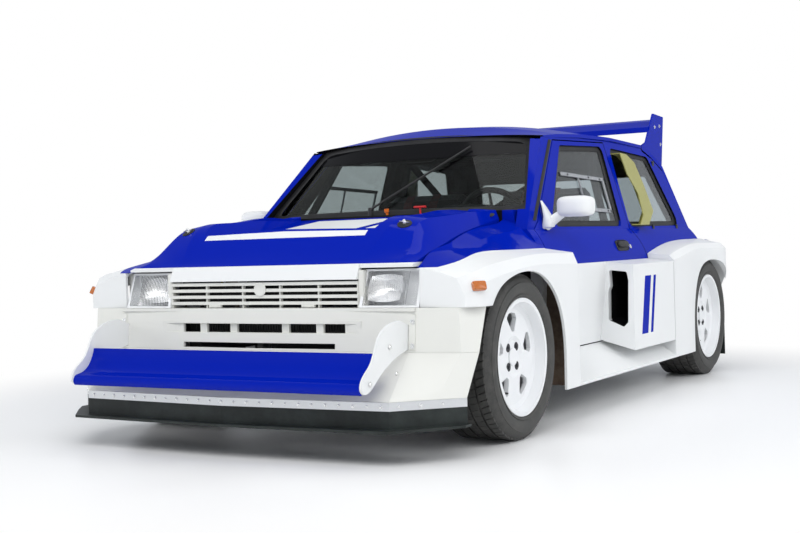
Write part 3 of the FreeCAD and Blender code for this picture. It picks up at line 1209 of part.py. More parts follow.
def seats():
    half = SEAT_WIDTH / 2
    floor = FLOOR_HEIGHT + FLOOR_THICKNESS + SEAT_GAP
    (front, low), (back, low), (waist, top), (head_front, top), (head_back, top) = side_points(SEAT_SHARES)
    outline = [(front, floor), (back, floor), (head_back, top), (head_front, top + SEAT_SHELL), (waist, top),
               (back - SEAT_SHELL * 2, low + SEAT_SHELL), (front, low + SEAT_SHELL * 2)]
    body = prism_x(outline, SEAT_X - half, SEAT_X + half)
    outline = [(front, floor), (back, floor)] + side_points(BOLSTER_SHARES)
    bolster = prism_x(outline, SEAT_X - half - SEAT_SHELL, SEAT_X - half)
    far = prism_x(outline, SEAT_X + half, SEAT_X + half + SEAT_SHELL)
    save("seats", pair(fused([body, bolster, far])))


def cage():
    x_low = SHOULDER_X - SIDE_WALL - 3 * CAGE_RADIUS - SIDE_WALL
    x_belt = BELT_X - SIDE_WALL - 3 * CAGE_RADIUS
    x_top = ROOF_EDGE_X - SIDE_WALL - 2 * CAGE_RADIUS
    floor = FLOOR_HEIGHT + FLOOR_THICKNESS + SEAT_GAP
    places = side_points(CAGE_SHARES)
    top = places[2][1]
    hoop_y = places[3][0]
    bend = Vector(0, 0, 3 * CAGE_RADIUS)
    a_foot = Vector(x_low, places[0][0], floor)
    a_waist = Vector(x_belt - CAGE_RADIUS, places[1][0], places[1][1])
    a_head = Vector(x_top, places[2][0], top)
    b_foot = Vector(x_low, hoop_y, floor)
    b_waist = Vector(x_belt, hoop_y, places[3][1])
    b_head = Vector(x_top, hoop_y, top)
    runs = [tube_run([a_foot, a_foot + bend, a_waist, a_head, b_head], CAGE_RADIUS),
            tube_run([b_foot, b_foot + bend, b_waist, b_head], CAGE_RADIUS)]
    knee = a_foot + bend + (a_waist - a_foot - bend) * DASH_BAR_SHARE
    half = fused(runs + [Part.makeSphere(CAGE_RADIUS + BEAD, place) for place in (b_head, knee)])
    cross = [rod(Vector(-x_top, y, top), Vector(x_top, y, top), CAGE_RADIUS) for y in (a_head.y, hoop_y)]
    brace = rod(b_head, Vector(-x_belt, hoop_y, places[4][1]), CAGE_RADIUS)
    dash = rod(Vector(-knee.x, knee.y, knee.z), knee, CAGE_RADIUS)
    stay = rod(b_head, Vector(x_top - SIDE_WALL, places[5][0], places[5][1]), CAGE_RADIUS)
    solid = fused([half, mirrored(half), brace, dash, stay, mirrored(stay)] + cross)
    save("roll_cage", [largest(solid)])


def dashboard():
    inset = 2 * SIDE_WALL
    front = along(SCREEN_SHARES[0][3]) + SIDE_WALL + SEAT_GAP
    slab = cabin_slab(inset, front, along(DASH_SHARES[-1][0]), up(DASH_SHARES[-1][1]), up(DASH_SHARES[0][1]))
    half = SHOULDER_X - 4 * SIDE_WALL
    slab = slab.common(box(-half, half, -LENGTH, LENGTH, 0, ROOF_HEIGHT))
    nose = prism_x(side_points(DASH_SHARES), -half, half)
    screen = crowned(SCREEN_SHARES, -2 * OVERRUN, 2 * GLASS, SCREEN_CUT_SHARE)
    middle, axis, reach = steering_wheel_frame()
    reach += SEAT_GAP
    bore = Part.makeCylinder(COLUMN_RADIUS + SEAT_GAP, reach, middle - axis * reach, axis)
    save("dashboard", [largest(fused([slab, nose]).cut(screen).cut(bore))])


def steering_wheel_frame():
    middle = Vector(SEAT_X, along(STEERING_WHEEL_SHARES[0]), up(STEERING_WHEEL_SHARES[1]))
    tilt = math.radians(COLUMN_TILT)
    axis = Vector(0, math.cos(tilt), math.sin(tilt))
    reach = (middle.y - along(DASH_SHARES[1][0])) / axis.y + COLUMN_RADIUS
    return middle, axis, reach


def steering_wheel():
    middle, axis, reach = steering_wheel_frame()
    ring = Part.makeTorus(WHEEL_RING_RADIUS, WHEEL_RING_TUBE, middle, axis)
    spokes = []
    side = Vector(1, 0, 0)
    rise = axis.cross(side)
    for angle in (90.0, 210.0, 330.0):
        turn = math.radians(angle)
        spoke = side * math.cos(turn) - rise * math.sin(turn)
        tip = middle + spoke * WHEEL_RING_RADIUS
        spokes.append(rod(middle, tip, WHEEL_RING_TUBE / 2))
    boss = Part.makeCylinder(COLUMN_RADIUS * 2, 2 * COLUMN_RADIUS, middle - axis * COLUMN_RADIUS, axis)
    column = Part.makeCylinder(COLUMN_RADIUS, reach, middle - axis * reach, axis)
    save("steering_wheel", [fused([ring, boss, column] + spokes)])


def engine():
    middle = along(CABIN_BACK_SHARE) + 2 * BULKHEAD
    low = rail_heights()[1] + SEAT_GAP
    block = box(-ENGINE_WIDTH / 2, ENGINE_WIDTH / 2, middle, middle + ENGINE_LENGTH, low - 2 * BEAM_SIZE,
                low - 2 * BEAM_SIZE + ENGINE_HEIGHT)
    foot_x = BEAM_HALF_WIDTH + BEAM_SIZE / 2
    feet = box(-foot_x, foot_x, middle + 3 * BEAM_SIZE, middle + 4 * BEAM_SIZE, low, low + BEAM_SIZE / 2)
    save("engine", [fused([block, feet])])


def behind_rear_panel():
    points = [(out(x), behind(y) - SKIN - SEAT_GAP) for y, x in REAR_PANEL_SHARES]
    beyond = [(2 * HALF_WIDTH, points[-1][1]), (2 * HALF_WIDTH, behind(2.0)), (0, behind(2.0))]
    return prism_z(points + beyond, 0, REAR_PANEL_TOP + SEAT_GAP)


def rear_panel():
    points = [(out(x), behind(y)) for y, x in REAR_PANEL_SHARES]
    back = [(x, y - SKIN) for x, y in points]
    half = points + list(reversed(back))
    band = prism_z(half, REAR_PANEL_FOOT, REAR_PANEL_TOP)
    band = fused([band, mirrored(band)])
    band = band.cut(lid_cutters(-OVERRUN))
    outline = [(out(x), behind(y)) for y, x in PANEL_SHELF_SHARES]
    shelf = prism_z(outline, REAR_PANEL_TOP - 2 * SKIN, REAR_PANEL_TOP - SKIN)
    shelf = fused([shelf, mirrored(shelf)]).cut(lid_cutters(-OVERRUN))
    wide = out(PANEL_OPENING_SHARES[0])
    opening = box(-wide, wide, REAR_AXLE_Y, behind(2.0), 0, up(PANEL_OPENING_SHARES[1]))
    band = fused([band, shelf]).cut(opening)
    lamp_pocket = tail_lamp_box(0)
    band = band.cut(lamp_pocket).cut(mirrored(lamp_pocket))
    save("rear_panel", [largest(band)])
    lamp = tail_lamp_box(SEAT_GAP)
    keep = prism_z(points + [(points[-1][0], REAR_AXLE_Y), (0, REAR_AXLE_Y)], 0, ROOF_HEIGHT)
    lamp = lamp.common(keep)
    save("tail_lamps", pair(lamp))


def tail_lamp_box(shrink):
    across, back, rise = TAIL_LAMP_SHARES
    middle = up(rise)
    centre = out(across)
    return box(centre - TAIL_LAMP_WIDTH / 2 + shrink, centre + TAIL_LAMP_WIDTH / 2 - shrink, behind(back),
               behind(2.0), middle - TAIL_LAMP_HEIGHT / 2 + shrink, middle + TAIL_LAMP_HEIGHT / 2 - shrink)


def exhaust():
    start = behind(TAIL_BEAM_SHARE) + BULKHEAD + SEAT_GAP
    end = behind(PIPE_SHARES[0])
    height = up(PIPE_SHARES[1])
    pieces = []
    for x in (PIPE_RADIUS + PIPE_GAP, -PIPE_RADIUS - PIPE_GAP):
        pipe = rod(Vector(x, start, height), Vector(x, end, height), PIPE_RADIUS)
        bore = rod(Vector(x, start + PIPE_RADIUS / 2, height), Vector(x, end + OVERRUN, height),
                   PIPE_RADIUS - PIPE_WALL)
        pieces += solids_of(pipe.cut(bore))
    save("exhaust", pieces)


def mudflaps():
    y = along(REAR_FLARE_SHARES[-1][0]) + SEAT_GAP
    flap = box(out(FLAP_SHARES[0]), out(FLAP_SHARES[1]), y, y + FLAP_THICKNESS, SILL_HEIGHT / 2,
               AXLE_HEIGHT + OVERRUN)
    save("mudflaps", pair(flap))


def wiper():
    foot, head, tip = [Vector(out(x), along(y), up(z)) for x, y, z in WIPER_SHARES]
    foot.z += SEAT_GAP
    pivot = Part.makeSphere(2 * GLASS, head)
    save("wiper", [fused([rod(foot, head, 2 * GLASS), pivot, rod(head, tip, GLASS)])])


def main():
    os.makedirs("parts", exist_ok=True)
    body_sides()
    roof()
    windscreen()
    scuttle()
    tailgate()
    quarter_windows()
    for name, flip in (("left", lambda shape: shape), ("right", mirrored)):
        door(name, flip)
    front_fenders()
    rear_flares()
    side_sills()
    front_bumper()
    front_splitter()
    nose_wing()
    headlamps()
    grille()
    bonnet()
    floor_pan()
    bulkheads()
    front_rails()
    rear_frame()
    rear_wheelhouses()
    wheels()
    knuckles()
    suspension("front_suspension", FRONT_AXLE_Y, 0)
    suspension("rear_suspension", REAR_AXLE_Y, ENGINE_WIDTH / 2 + SEAT_GAP)
    seats()
    cage()
    dashboard()
    steering_wheel()
    engine()
    rear_panel()
    exhaust()
    mudflaps()
    wiper()


main()
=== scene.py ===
"""Looks of the rally car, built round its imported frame. Metres; X to the car's left, Y to its rear, Z up."""
import json
import math

import bmesh
import bpy
from mathutils import Matrix, Vector


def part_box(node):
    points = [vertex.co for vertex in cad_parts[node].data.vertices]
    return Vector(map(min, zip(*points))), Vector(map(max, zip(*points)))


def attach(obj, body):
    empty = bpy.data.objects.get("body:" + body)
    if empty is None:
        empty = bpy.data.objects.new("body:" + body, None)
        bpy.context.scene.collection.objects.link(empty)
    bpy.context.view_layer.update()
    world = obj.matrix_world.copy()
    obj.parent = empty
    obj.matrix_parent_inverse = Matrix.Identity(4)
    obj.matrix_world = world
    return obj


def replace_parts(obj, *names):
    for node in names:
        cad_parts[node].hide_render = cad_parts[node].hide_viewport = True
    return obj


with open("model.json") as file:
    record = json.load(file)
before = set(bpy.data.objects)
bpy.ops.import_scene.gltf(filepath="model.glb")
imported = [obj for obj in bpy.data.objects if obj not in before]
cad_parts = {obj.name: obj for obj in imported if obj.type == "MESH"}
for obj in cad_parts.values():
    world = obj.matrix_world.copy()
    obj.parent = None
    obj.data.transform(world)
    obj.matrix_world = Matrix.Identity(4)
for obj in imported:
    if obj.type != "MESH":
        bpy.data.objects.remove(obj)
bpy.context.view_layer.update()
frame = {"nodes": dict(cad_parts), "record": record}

JOINTS = {joint["name"]: Vector(joint.get("pos_m", (0, 0, 0)))
          for joint in frame["record"]["behaviour"]["joints"]}
FRONT_AXLE_Y = JOINTS["wheel_front_left_spin"].y
REAR_AXLE_Y = JOINTS["wheel_rear_left_spin"].y
AXLE_HEIGHT = JOINTS["wheel_front_left_spin"].z
HALF_TRACK = JOINTS["wheel_front_left_spin"].x
TYRE_LOW, TYRE_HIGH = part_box("tyre_front_left")
TYRE_RADIUS = TYRE_HIGH.z - AXLE_HEIGHT
TYRE_HALF = (TYRE_HIGH.x - TYRE_LOW.x) / 2
SIDES = (("left", 1), ("right", -1))
ENDS = (("front", FRONT_AXLE_Y), ("rear", REAR_AXLE_Y))
ACROSS, ALONG, UP = Vector((1, 0, 0)), Vector((0, 1, 0)), Vector((0, 0, 1))

# Colours, as linear light
BLUE = (0.0006, 0.013, 0.37, 1)
WHITE = (0.80, 0.81, 0.81, 1)
# Warm white of the moulded bumper parts, a little darker than WHITE as painted shade that holds down the
# brightly lit chin
WARM_SHADED_WHITE = (0.75, 0.75, 0.71, 1)
PURE_WHITE = (1, 1, 1, 1)
RED = (0.50, 0.02, 0.02, 1)
BLACK = (0.010, 0.010, 0.011, 1)
# Near black painted on the shell's faces that look into the cabin: painted shade inside the cabin
CABIN_SHADE = (0.008, 0.008, 0.009, 1)
LENS_RED = (0.42, 0.006, 0.006, 1)
BRIGHTEST = 0.82

# Heights, places and rooms that the paint follows; X in a room is the distance from the car's middle
BELT_SPLIT = 0.637
FENDER_SPLIT = (0.660, 0.710)
FENDER_SPLIT_RUN = (FRONT_AXLE_Y - 0.40, FRONT_AXLE_Y - 0.02)
FENDER_SPLIT_CURVE = 1.8
ARCH_INSIDE = {"X": (None, 0.872), "Y": (FRONT_AXLE_Y + 0.06, FRONT_AXLE_Y + 0.47), "Z": (None, 0.665)}
SUN_STRIP = {"Z": (1.128, None)}
BONNET_STRIP = {"Z": (None, 0.679)}
RECESS_LIP = {"X": (None, 0.378), "Y": (None, FRONT_AXLE_Y - 0.272), "Z": (0.782, None)}
BAND_START_Y = FRONT_AXLE_Y - 0.20
BAND_END_Y = FRONT_AXLE_Y + 0.42
BAND_LEAN = 0.06
BONNET_BANDS = ((-0.36, 0.40, WHITE), (0.09, 0.05, WHITE), (0.19, 0.10, RED))
SCUTTLE_OUTER = {"X": (0.575, None)}
POD_FRONT_Y = JOINTS["door_left_hinge"].y + 0.66
POD_FACE = {"X": (0.896, None)}
POD_MOUTH = {"X": (0.780, 0.893), "Y": (POD_FRONT_Y + 0.010, None), "Z": (0.335, 0.605)}
POD_BARS = ((0.075, 0.085), (0.195, 0.035))
BAR_FOOT = 0.300
BAR_TOP = 0.565
BAR_LEAN = 0.060
TAIL_AMBER = {"X": (0.505, None)}
TAIL_CLEAR = {"X": (None, 0.440), "Z": (None, 0.634)}
PRISM_PITCH = 0.006
CABIN_MIDDLE = (0, 0.3, 0.75)
CABIN_STRETCH = (1, 0.25, 1)
FACING_IN = 0.03


# Node graphs

class Tree:
    """Short calls for the nodes of one shader tree."""

    def __init__(self, tree):
        self.nodes = tree.nodes
        self.links = tree.links

    def feed(self, node, inputs):
        """Sets a node's inputs, or links them where the value is another node's output."""
        for key, value in dict(inputs).items():
            if hasattr(value, "is_output"):
                self.links.new(value, node.inputs[key])
            else:
                node.inputs[key].default_value = value
        return node

    def node(self, kind, inputs=(), **settings):
        node = self.nodes.new("ShaderNode" + kind)
        for key, value in settings.items():
            setattr(node, key, value)
        return self.feed(node, inputs)

    def math(self, operation, first, second=0.0, **settings):
        return self.node("Math", {0: first, 1: second}, operation=operation, **settings).outputs[0]

    def both(self, *masks):
        made = masks[0]
        for mask in masks[1:]:
            made = self.math("MULTIPLY", made, mask)
        return made

    def ramp(self, value, low, high, start=0.0, end=1.0, kind="LINEAR"):
        inputs = {"Value": value, "From Min": low, "From Max": high, "To Min": start, "To Max": end}
        return self.node("MapRange", inputs, interpolation_type=kind).outputs[0]


class Graph(Tree):
    """A material's tree with one Principled shader, and the patterns in object space that feed it."""

    def __init__(self, name, colour, roughness, **sockets):
        self.material = bpy.data.materials.new(name)
        self.material.use_nodes = True
        self.material.diffuse_color = colour
        super().__init__(self.material.node_tree)
        self.shader = self.nodes["Principled BSDF"]
        sockets.update(Base_Color=colour, Roughness=roughness)
        self.feed(self.shader, {key.replace("_", " "): value for key, value in sockets.items()})
        self.coords = self.node("TexCoord")
        self.place = self.coords.outputs["Object"]

    def axis(self, letter):
        return self.node("SeparateXYZ", {0: self.place}).outputs[letter]

    def noise(self, scale, detail=3.0, rough=0.5):
        inputs = {"Vector": self.place, "Scale": scale, "Detail": detail, "Roughness": rough}
        return self.node("TexNoise", inputs).outputs["Fac"]

    def wave(self, letter, pitch):
        return self.math("SINE", self.math("MULTIPLY", self.axis(letter), math.tau / pitch))

    def facing_in(self):
        """1 where the surface looks towards the middle of the cabin."""
        offset = self.node("VectorMath", {0: self.place, 1: CABIN_MIDDLE}, operation="SUBTRACT").outputs[0]
        flat = self.node("VectorMath", {0: offset, 1: CABIN_STRETCH}, operation="MULTIPLY").outputs[0]
        normal = self.coords.outputs["Normal"]
        turned = self.node("VectorMath", {0: flat, 1: normal}, operation="DOT_PRODUCT")
        return self.math("LESS_THAN", turned.outputs["Value"], -FACING_IN)

    def room(self, **limits):
        """1 between the limits given for X's distance from the middle, Y and Z; None is no limit."""
        masks = []
        for letter, (low, high) in limits.items():
            value = self.axis(letter)
            if letter == "X":
                value = self.math("ABSOLUTE", value)
            if low is not None:
                masks.append(self.math("GREATER_THAN", value, low))
            if high is not None:
                masks.append(self.math("GREATER_THAN", high, value))
        return self.both(*masks)

    def inside(self, corners, first="Y", second="Z"):
        """1 inside a convex outline of points in two axes, given anticlockwise."""
        across, height = self.axis(first), self.axis(second)
        sides = []
        for (x0, z0), (x1, z1) in zip(corners, corners[1:] + corners[:1]):
            run = self.math("MULTIPLY", self.math("SUBTRACT", across, x0), z0 - z1)
            rise = self.math("MULTIPLY", self.math("SUBTRACT", height, z0), x1 - x0)
            sides.append(self.math("GREATER_THAN", self.math("ADD", run, rise), 0.0))
        return self.both(*sides)

    def mix(self, factor, first, second):
        return self.node("Mix", {0: factor, 6: first, 7: second}, data_type="RGBA").outputs[2]

    def use(self, socket, value):
        self.feed(self.shader, {socket: value})

    def prisms(self):
        """A grid of fine prisms across and up, raised on the surface."""
        grid = self.both(self.wave("X", PRISM_PITCH), self.wave("Z", PRISM_PITCH))
        self.bump(grid, 0.0006, 0.7)
        return grid

    def bump(self, height, distance, strength=1.0, rounding=0.0):
        inputs = {"Height": height, "Distance": distance, "Strength": strength}
        if rounding:
            inputs["Normal"] = self.node("Bevel", {"Radius": rounding}, samples=4).outputs[0]
        self.use("Normal", self.node("Bump", inputs).outputs[0])


def shade(colour, gain, lift=0.0):
    return tuple(min(BRIGHTEST, gain * part + lift) for part in colour[:3]) + (1,)


def slanted(start, width, foot, top, lean):
    """Corners of a bar that leans by lean between foot and top."""
    end = start + width
    return [(start, foot), (end, foot), (end + lean, top), (start + lean, top)]


def paint(name, colour, pattern=None, gloss=0.04, shade_inside=False):
    """Two-coat gloss paint with a little orange peel, a film of dust and rounded panel edges; faces turned
    towards the cabin can be painted near black, as painted shade inside the cabin.
    """
    graph = Graph(name, colour, 0.34, Coat_Weight=0.24, Coat_Roughness=gloss, Specular_IOR_Level=0.0)
    base = pattern(graph) if pattern else None
    if shade_inside:
        # Faces turned towards the cabin painted near black: painted shade inside the cabin
        base = graph.mix(graph.facing_in(), base or colour, CABIN_SHADE)
    if base:
        graph.use("Base Color", base)
    graph.use("Roughness", graph.ramp(graph.noise(21.0, 5.0, 0.6), 0.35, 0.80, 0.30, 0.40))
    graph.bump(graph.noise(210.0, 2.0), 0.00002, 0.12, 0.0025)
    return graph.material


def split_side(graph):
    """Blue above the belt line, white below it."""
    return graph.mix(graph.room(Z=(BELT_SPLIT, None)), WHITE, BLUE)


def split_door(graph):
    """The side's split, with two slanted bars on the pod's face and its mouth black."""
    bars = [graph.inside(slanted(POD_FRONT_Y + start, width, BAR_FOOT, BAR_TOP, BAR_LEAN))
            for start, width in POD_BARS]
    bars = graph.both(graph.math("ADD", *bars), graph.room(**POD_FACE))
    base = graph.mix(bars, split_side(graph), BLUE)
    return graph.mix(graph.room(**POD_MOUTH), base, BLACK)


def split_fender(graph):
    """White flare, the bonnet's blue running down over its crest in a curve, bare brown inside the arch."""
    before = graph.ramp(graph.axis("Y"), *FENDER_SPLIT_RUN, 1.0, 0.0)
    rise = graph.ramp(graph.math("POWER", before, FENDER_SPLIT_CURVE), 1.0, 0.0, *FENDER_SPLIT)
    base = graph.mix(graph.room(Z=(rise, None)), WHITE, BLUE)
    dirt = graph.ramp(graph.noise(11.0, 6.0, 0.7), 0.35, 0.75)
    brown = graph.mix(dirt, (0.12, 0.085, 0.065, 1), (0.26, 0.20, 0.15, 1))
    return graph.mix(graph.room(**ARCH_INSIDE), base, brown)


def bonnet_bands(graph):
    """White strip over the grille, a band along the recess lip and plain slanted bands behind it."""
    base = graph.mix(graph.room(**BONNET_STRIP), BLUE, WHITE)
    base = graph.mix(graph.room(**RECESS_LIP), base, WHITE)
    for start, width, colour in BONNET_BANDS:
        corners = slanted(start, width, BAND_START_Y, BAND_END_Y, BAND_LEAN)
        base = graph.mix(graph.inside(corners, "X", "Y"), base, colour)
    return base


def scuttle_split(graph):
    """Body blue at the screen's outer corners, black between them."""
    return graph.mix(graph.room(**SCUTTLE_OUTER), BLACK, BLUE)


def screen_pane(name, tint):
    """Windscreen glass with a black strip along its top."""
    graph = Graph(name, tint, 0.0, IOR=1.22)
    strip = graph.room(**SUN_STRIP)
    graph.use("Base Color", graph.mix(strip, tint, (0.006, 0.006, 0.007, 1)))
    graph.use("Transmission Weight", graph.math("SUBTRACT", 1.0, strip))
    smear = graph.ramp(graph.noise(6.0, 4.0), 0.45, 0.9, 0.0, 0.04)
    graph.use("Roughness", graph.math("ADD", smear, graph.math("MULTIPLY", strip, 0.10)))
    return graph.material


def tail_lens():
    """Lamp with a red body, an amber outer end and a clear section at its inner foot, over fine prisms whose
    hollows are painted darker as painted shade.
    """
    graph = Graph("tail_lens", LENS_RED, 0.14, Coat_Weight=1.0, Coat_Roughness=0.03)
    base = graph.mix(graph.room(**TAIL_AMBER), LENS_RED, (0.80, 0.20, 0.006, 1))
    base = graph.mix(graph.room(**TAIL_CLEAR), base, (0.70, 0.70, 0.70, 1))
    grid = graph.prisms()
    # Painted shade: the prisms' hollows darkened towards near black
    graph.use("Base Color", graph.mix(graph.ramp(grid, -1.0, 1.0, 0.55, 0.0), base, (0.01, 0.01, 0.01, 1)))
    return graph.material


def lens(name, colour):
    """Coloured lamp plastic over a grid of fine prisms, with painted shade darkening the prisms' hollows."""
    graph = Graph(name, colour, 0.12, Coat_Weight=1.0, Coat_Roughness=0.03, Transmission_Weight=0.25)
    grid = graph.prisms()
    # Painted shade: the prisms' hollows take a darker copy of the colour
    graph.use("Base Color", graph.mix(graph.ramp(grid, -1.0, 1.0), shade(colour, 0.55), colour))
    return graph.material


def plastic(name, colour, roughness, grain=900.0, depth=0.00006, rounding=0.0015):
    graph = Graph(name, colour, roughness)
    spots = graph.ramp(graph.noise(14.0, 4.0), 0.3, 0.8, 0.0, 0.5)
    graph.use("Base Color", graph.mix(spots, colour, shade(colour, 1.35, 0.004)))
    graph.use("Roughness", graph.ramp(graph.noise(60.0, 3.0), 0.3, 0.8, roughness - 0.06, roughness + 0.12))
    graph.bump(graph.noise(grain, 2.0), depth, 0.5, rounding)
    return graph.material


def metal(name, colour, roughness, streak=1.0, rounding=0.001):
    graph = Graph(name, colour, roughness, Metallic=1.0)
    scale = (40.0, 40.0, 40.0 * (1 + 9 * streak))
    stretched = graph.node("Mapping", {"Vector": graph.place, "Scale": scale}).outputs[0]
    lines = graph.node("TexNoise", {"Vector": stretched, "Scale": 6.0, "Detail": 4.0}).outputs["Fac"]
    graph.use("Roughness", graph.ramp(lines, 0.3, 0.75, roughness - 0.08, roughness + 0.16))
    graph.bump(lines, 0.00004, 0.4, rounding)
    return graph.material


def rubber(name, colour, roughness=0.72):
    graph = Graph(name, colour, roughness, Specular_IOR_Level=0.35)
    dust = graph.ramp(graph.noise(9.0, 5.0, 0.65), 0.42, 0.80)
    graph.use("Base Color", graph.mix(dust, colour, shade(colour, 2.2, 0.006)))
    graph.bump(graph.noise(500.0, 2.0), 0.00008, 0.6, 0.0008)
    return graph.material


def glass(name, tint, roughness=0.0, flutes=None):
    """Clear or tinted pane; flutes give the axis, pitch and depth of a lamp glass's ribs."""
    graph = Graph(name, tint, roughness, Transmission_Weight=1.0, IOR=1.25)
    graph.use("Roughness", graph.ramp(graph.noise(6.0, 4.0), 0.45, 0.9, roughness, roughness + 0.05))
    if flutes:
        letter, pitch, depth = flutes
        graph.bump(graph.wave(letter, pitch), depth, 1.0)
    return graph.material


def woven(name, dark, light, pitch, sheen=0.0, roughness=0.85):
    """Plain weave worked out from crossed waves, so that two of them cross on every face; the hollows between
    the threads are painted darker, as painted shade.
    """
    graph = Graph(name, dark, roughness, Sheen_Weight=sheen)
    warp = graph.math("ADD", graph.wave("Y", pitch), graph.wave("X", pitch))
    weave = graph.both(warp, graph.wave("Z", pitch))
    # Painted shade: the weave's hollows take the dark colour, its raised crossings the light one
    graph.use("Base Color", graph.mix(graph.ramp(weave, -1.2, 1.2), dark, light))
    graph.bump(weave, 0.0004, 0.6)
    return graph.material


def tyre_rubber():
    graph = Graph("tyre_rubber", (0.038, 0.038, 0.036, 1), 0.62, Specular_IOR_Level=0.5)
    dust = graph.ramp(graph.noise(26.0, 6.0, 0.7), 0.40, 0.80)
    graph.use("Base Color", graph.mix(dust, (0.036, 0.036, 0.034, 1), (0.095, 0.092, 0.086, 1)))
    graph.use("Roughness", graph.ramp(dust, 0.0, 1.0, 0.55, 0.85))
    graph.bump(graph.noise(420.0, 3.0), 0.0002, 0.5)
    return graph.material


def liner():
    """Bare composite inside the wheelhouses, brown with dried dirt."""
    graph = Graph("liner", (0.16, 0.10, 0.07, 1), 0.8)
    dirt = graph.ramp(graph.noise(11.0, 6.0, 0.7), 0.35, 0.75)
    graph.use("Base Color", graph.mix(dirt, (0.10, 0.065, 0.045, 1), (0.24, 0.17, 0.12, 1)))
    graph.bump(graph.noise(160.0, 4.0), 0.0004, 0.5)
    return graph.material


MATERIALS = {
    "blue": paint("blue_coat", BLUE),
    "shell": paint("shell_coat", BLUE, shade_inside=True),
    "white": paint("white_coat", WHITE),
    "wheel": paint("wheel_coat", (0.83, 0.84, 0.85, 1), gloss=0.12),
    "side": paint("side_coat", BLUE, split_side, shade_inside=True),
    "door": paint("door_coat", BLUE, split_door, shade_inside=True),
    "fender": paint("fender_coat", WHITE, split_fender),
    "bonnet": paint("bonnet_coat", BLUE, bonnet_bands),
    "gloss_white": paint("mirror_coat", WHITE),
    "yellow": paint("spring_coat", (0.60, 0.36, 0.01, 1), gloss=0.2),
    "clear_rail": plastic("rail_plastic", (0.30, 0.31, 0.33, 1), 0.22),
    "bumper": paint("moulded_white", WARM_SHADED_WHITE, gloss=0.10),
    "scuttle": paint("scuttle_coat", BLACK, scuttle_split, 0.10),
    "trim": plastic("black_trim", BLACK, 0.5),
    "dark": plastic("dark_paint", (0.020, 0.020, 0.024, 1), 0.55, 300.0),
    "inside": plastic("cabin_paint", (0.012, 0.012, 0.015, 1), 0.6, 200.0),
    "cage": paint("cage_coat", (0.016, 0.017, 0.020, 1), gloss=0.2),
    "rubber": rubber("sheet_rubber", (0.012, 0.016, 0.015, 1), 0.5),
    "seal": rubber("window_seal", (0.010, 0.010, 0.011, 1), 0.55),
    "tyre": tyre_rubber(),
    "liner": liner(),
    "aluminium": metal("bare_aluminium", (0.72, 0.73, 0.74, 1), 0.34),
    "steel": metal("steel", (0.34, 0.34, 0.35, 1), 0.42),
    "bright": metal("bright_fastener", (0.80, 0.80, 0.80, 1), 0.22, 0.0),
    "chrome": metal("lamp_reflector", (0.95, 0.96, 0.97, 1), 0.30, 0.0, 0.0),
    "lamp_back": paint("lamp_lining", (0.85, 0.86, 0.87, 1), gloss=0.10),
    "iron": metal("cast_iron", (0.20, 0.20, 0.21, 1), 0.6, 0.0),
    "screen": screen_pane("screen_glass", (0.40, 0.44, 0.43, 1)),
    "acrylic": glass("window_acrylic", (0.55, 0.60, 0.62, 1), 0.01),
    "lamp": glass("lamp_glass", PURE_WHITE, 0.02, ("X", 0.0085, 0.0006)),
    "clear": glass("lamp_cover", PURE_WHITE, 0.03, ("Z", 0.006, 0.0003)),
    "tail": tail_lens(),
    "amber": lens("amber_lens", (0.80, 0.20, 0.005, 1)),
    "aramid": woven("aramid_weave", (0.24, 0.24, 0.05, 1), (0.50, 0.47, 0.15, 1), 0.004, roughness=0.35),
    "cloth": woven("seat_cloth", (0.018, 0.018, 0.022, 1), (0.05, 0.05, 0.06, 1), 0.0022, 0.4),
    "belt": woven("belt_webbing", (0.05, 0.006, 0.006, 1), (0.28, 0.02, 0.02, 1), 0.0018, 0.3),
    "orange": plastic("pull_orange", (0.75, 0.16, 0.01, 1), 0.35),
    "pull": plastic("pull_red", (0.55, 0.02, 0.02, 1), 0.35),
    "leather": plastic("wheel_leather", (0.014, 0.013, 0.013, 1), 0.5, 700.0, 0.0002),
}

NODE_MATERIALS = {
    "blue": ("rear_wing", "nose_wing"),
    "shell": ("roof", "tailgate"),
    "white": ("rear_flares", "side_sills", "nose_wing_plates", "rear_panel"),
    "side": ("body_sides",),
    "door": ("door_left", "door_right"),
    "fender": ("front_fenders",),
    "bonnet": ("bonnet",),
    "bumper": ("front_bumper", "chin_panel", "grille"),
    "wheel": tuple("rim_%s_%s" % (end, side) for end, y in ENDS for side, sign in SIDES),
    "trim": ("dashboard", "wiper"),
    "scuttle": ("scuttle",),
    "inside": ("floor_pan", "bulkhead", "firewall", "front_rails", "rear_frame"),
    "liner": ("rear_wheelhouses",),
    "cage": ("roll_cage",),
    "rubber": ("front_splitter", "mudflaps"),
    "aluminium": ("skirt_strip",),
    "steel": ("rear_uprights", "front_suspension", "rear_suspension", "knuckle_left", "knuckle_right",
              "exhaust"),
    "iron": ("engine",),
    "screen": ("windscreen",),
    "acrylic": ("tailgate_glass", "quarter_windows", "door_glass_left", "door_glass_right"),
    "aramid": ("window_scoops",),
    "tail": ("tail_lamps",),
    "cloth": ("seats",),
    "leather": ("steering_wheel",),
}


# Mesh helpers

def piece(name, mesh, material, body, smooth=40.0):
    """Links a bmesh as an object that rides on a body and takes its finish from a slot."""
    data = bpy.data.meshes.new(name)
    bmesh.ops.recalc_face_normals(mesh, faces=mesh.faces)
    mesh.to_mesh(data)
    mesh.free()
    data.materials.append(MATERIALS[material])
    for polygon in data.polygons:
        polygon.use_smooth = True
    data.set_sharp_from_angle(angle=math.radians(smooth))
    thing = bpy.data.objects.new(name, data)
    bpy.context.scene.collection.objects.link(thing)
    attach(thing, body)
    return thing


def to_side(mesh, sign):
    """Turns what was drawn on the left over to the right where sign is -1."""
    for vert in mesh.verts:
        vert.co.x *= sign
    return mesh


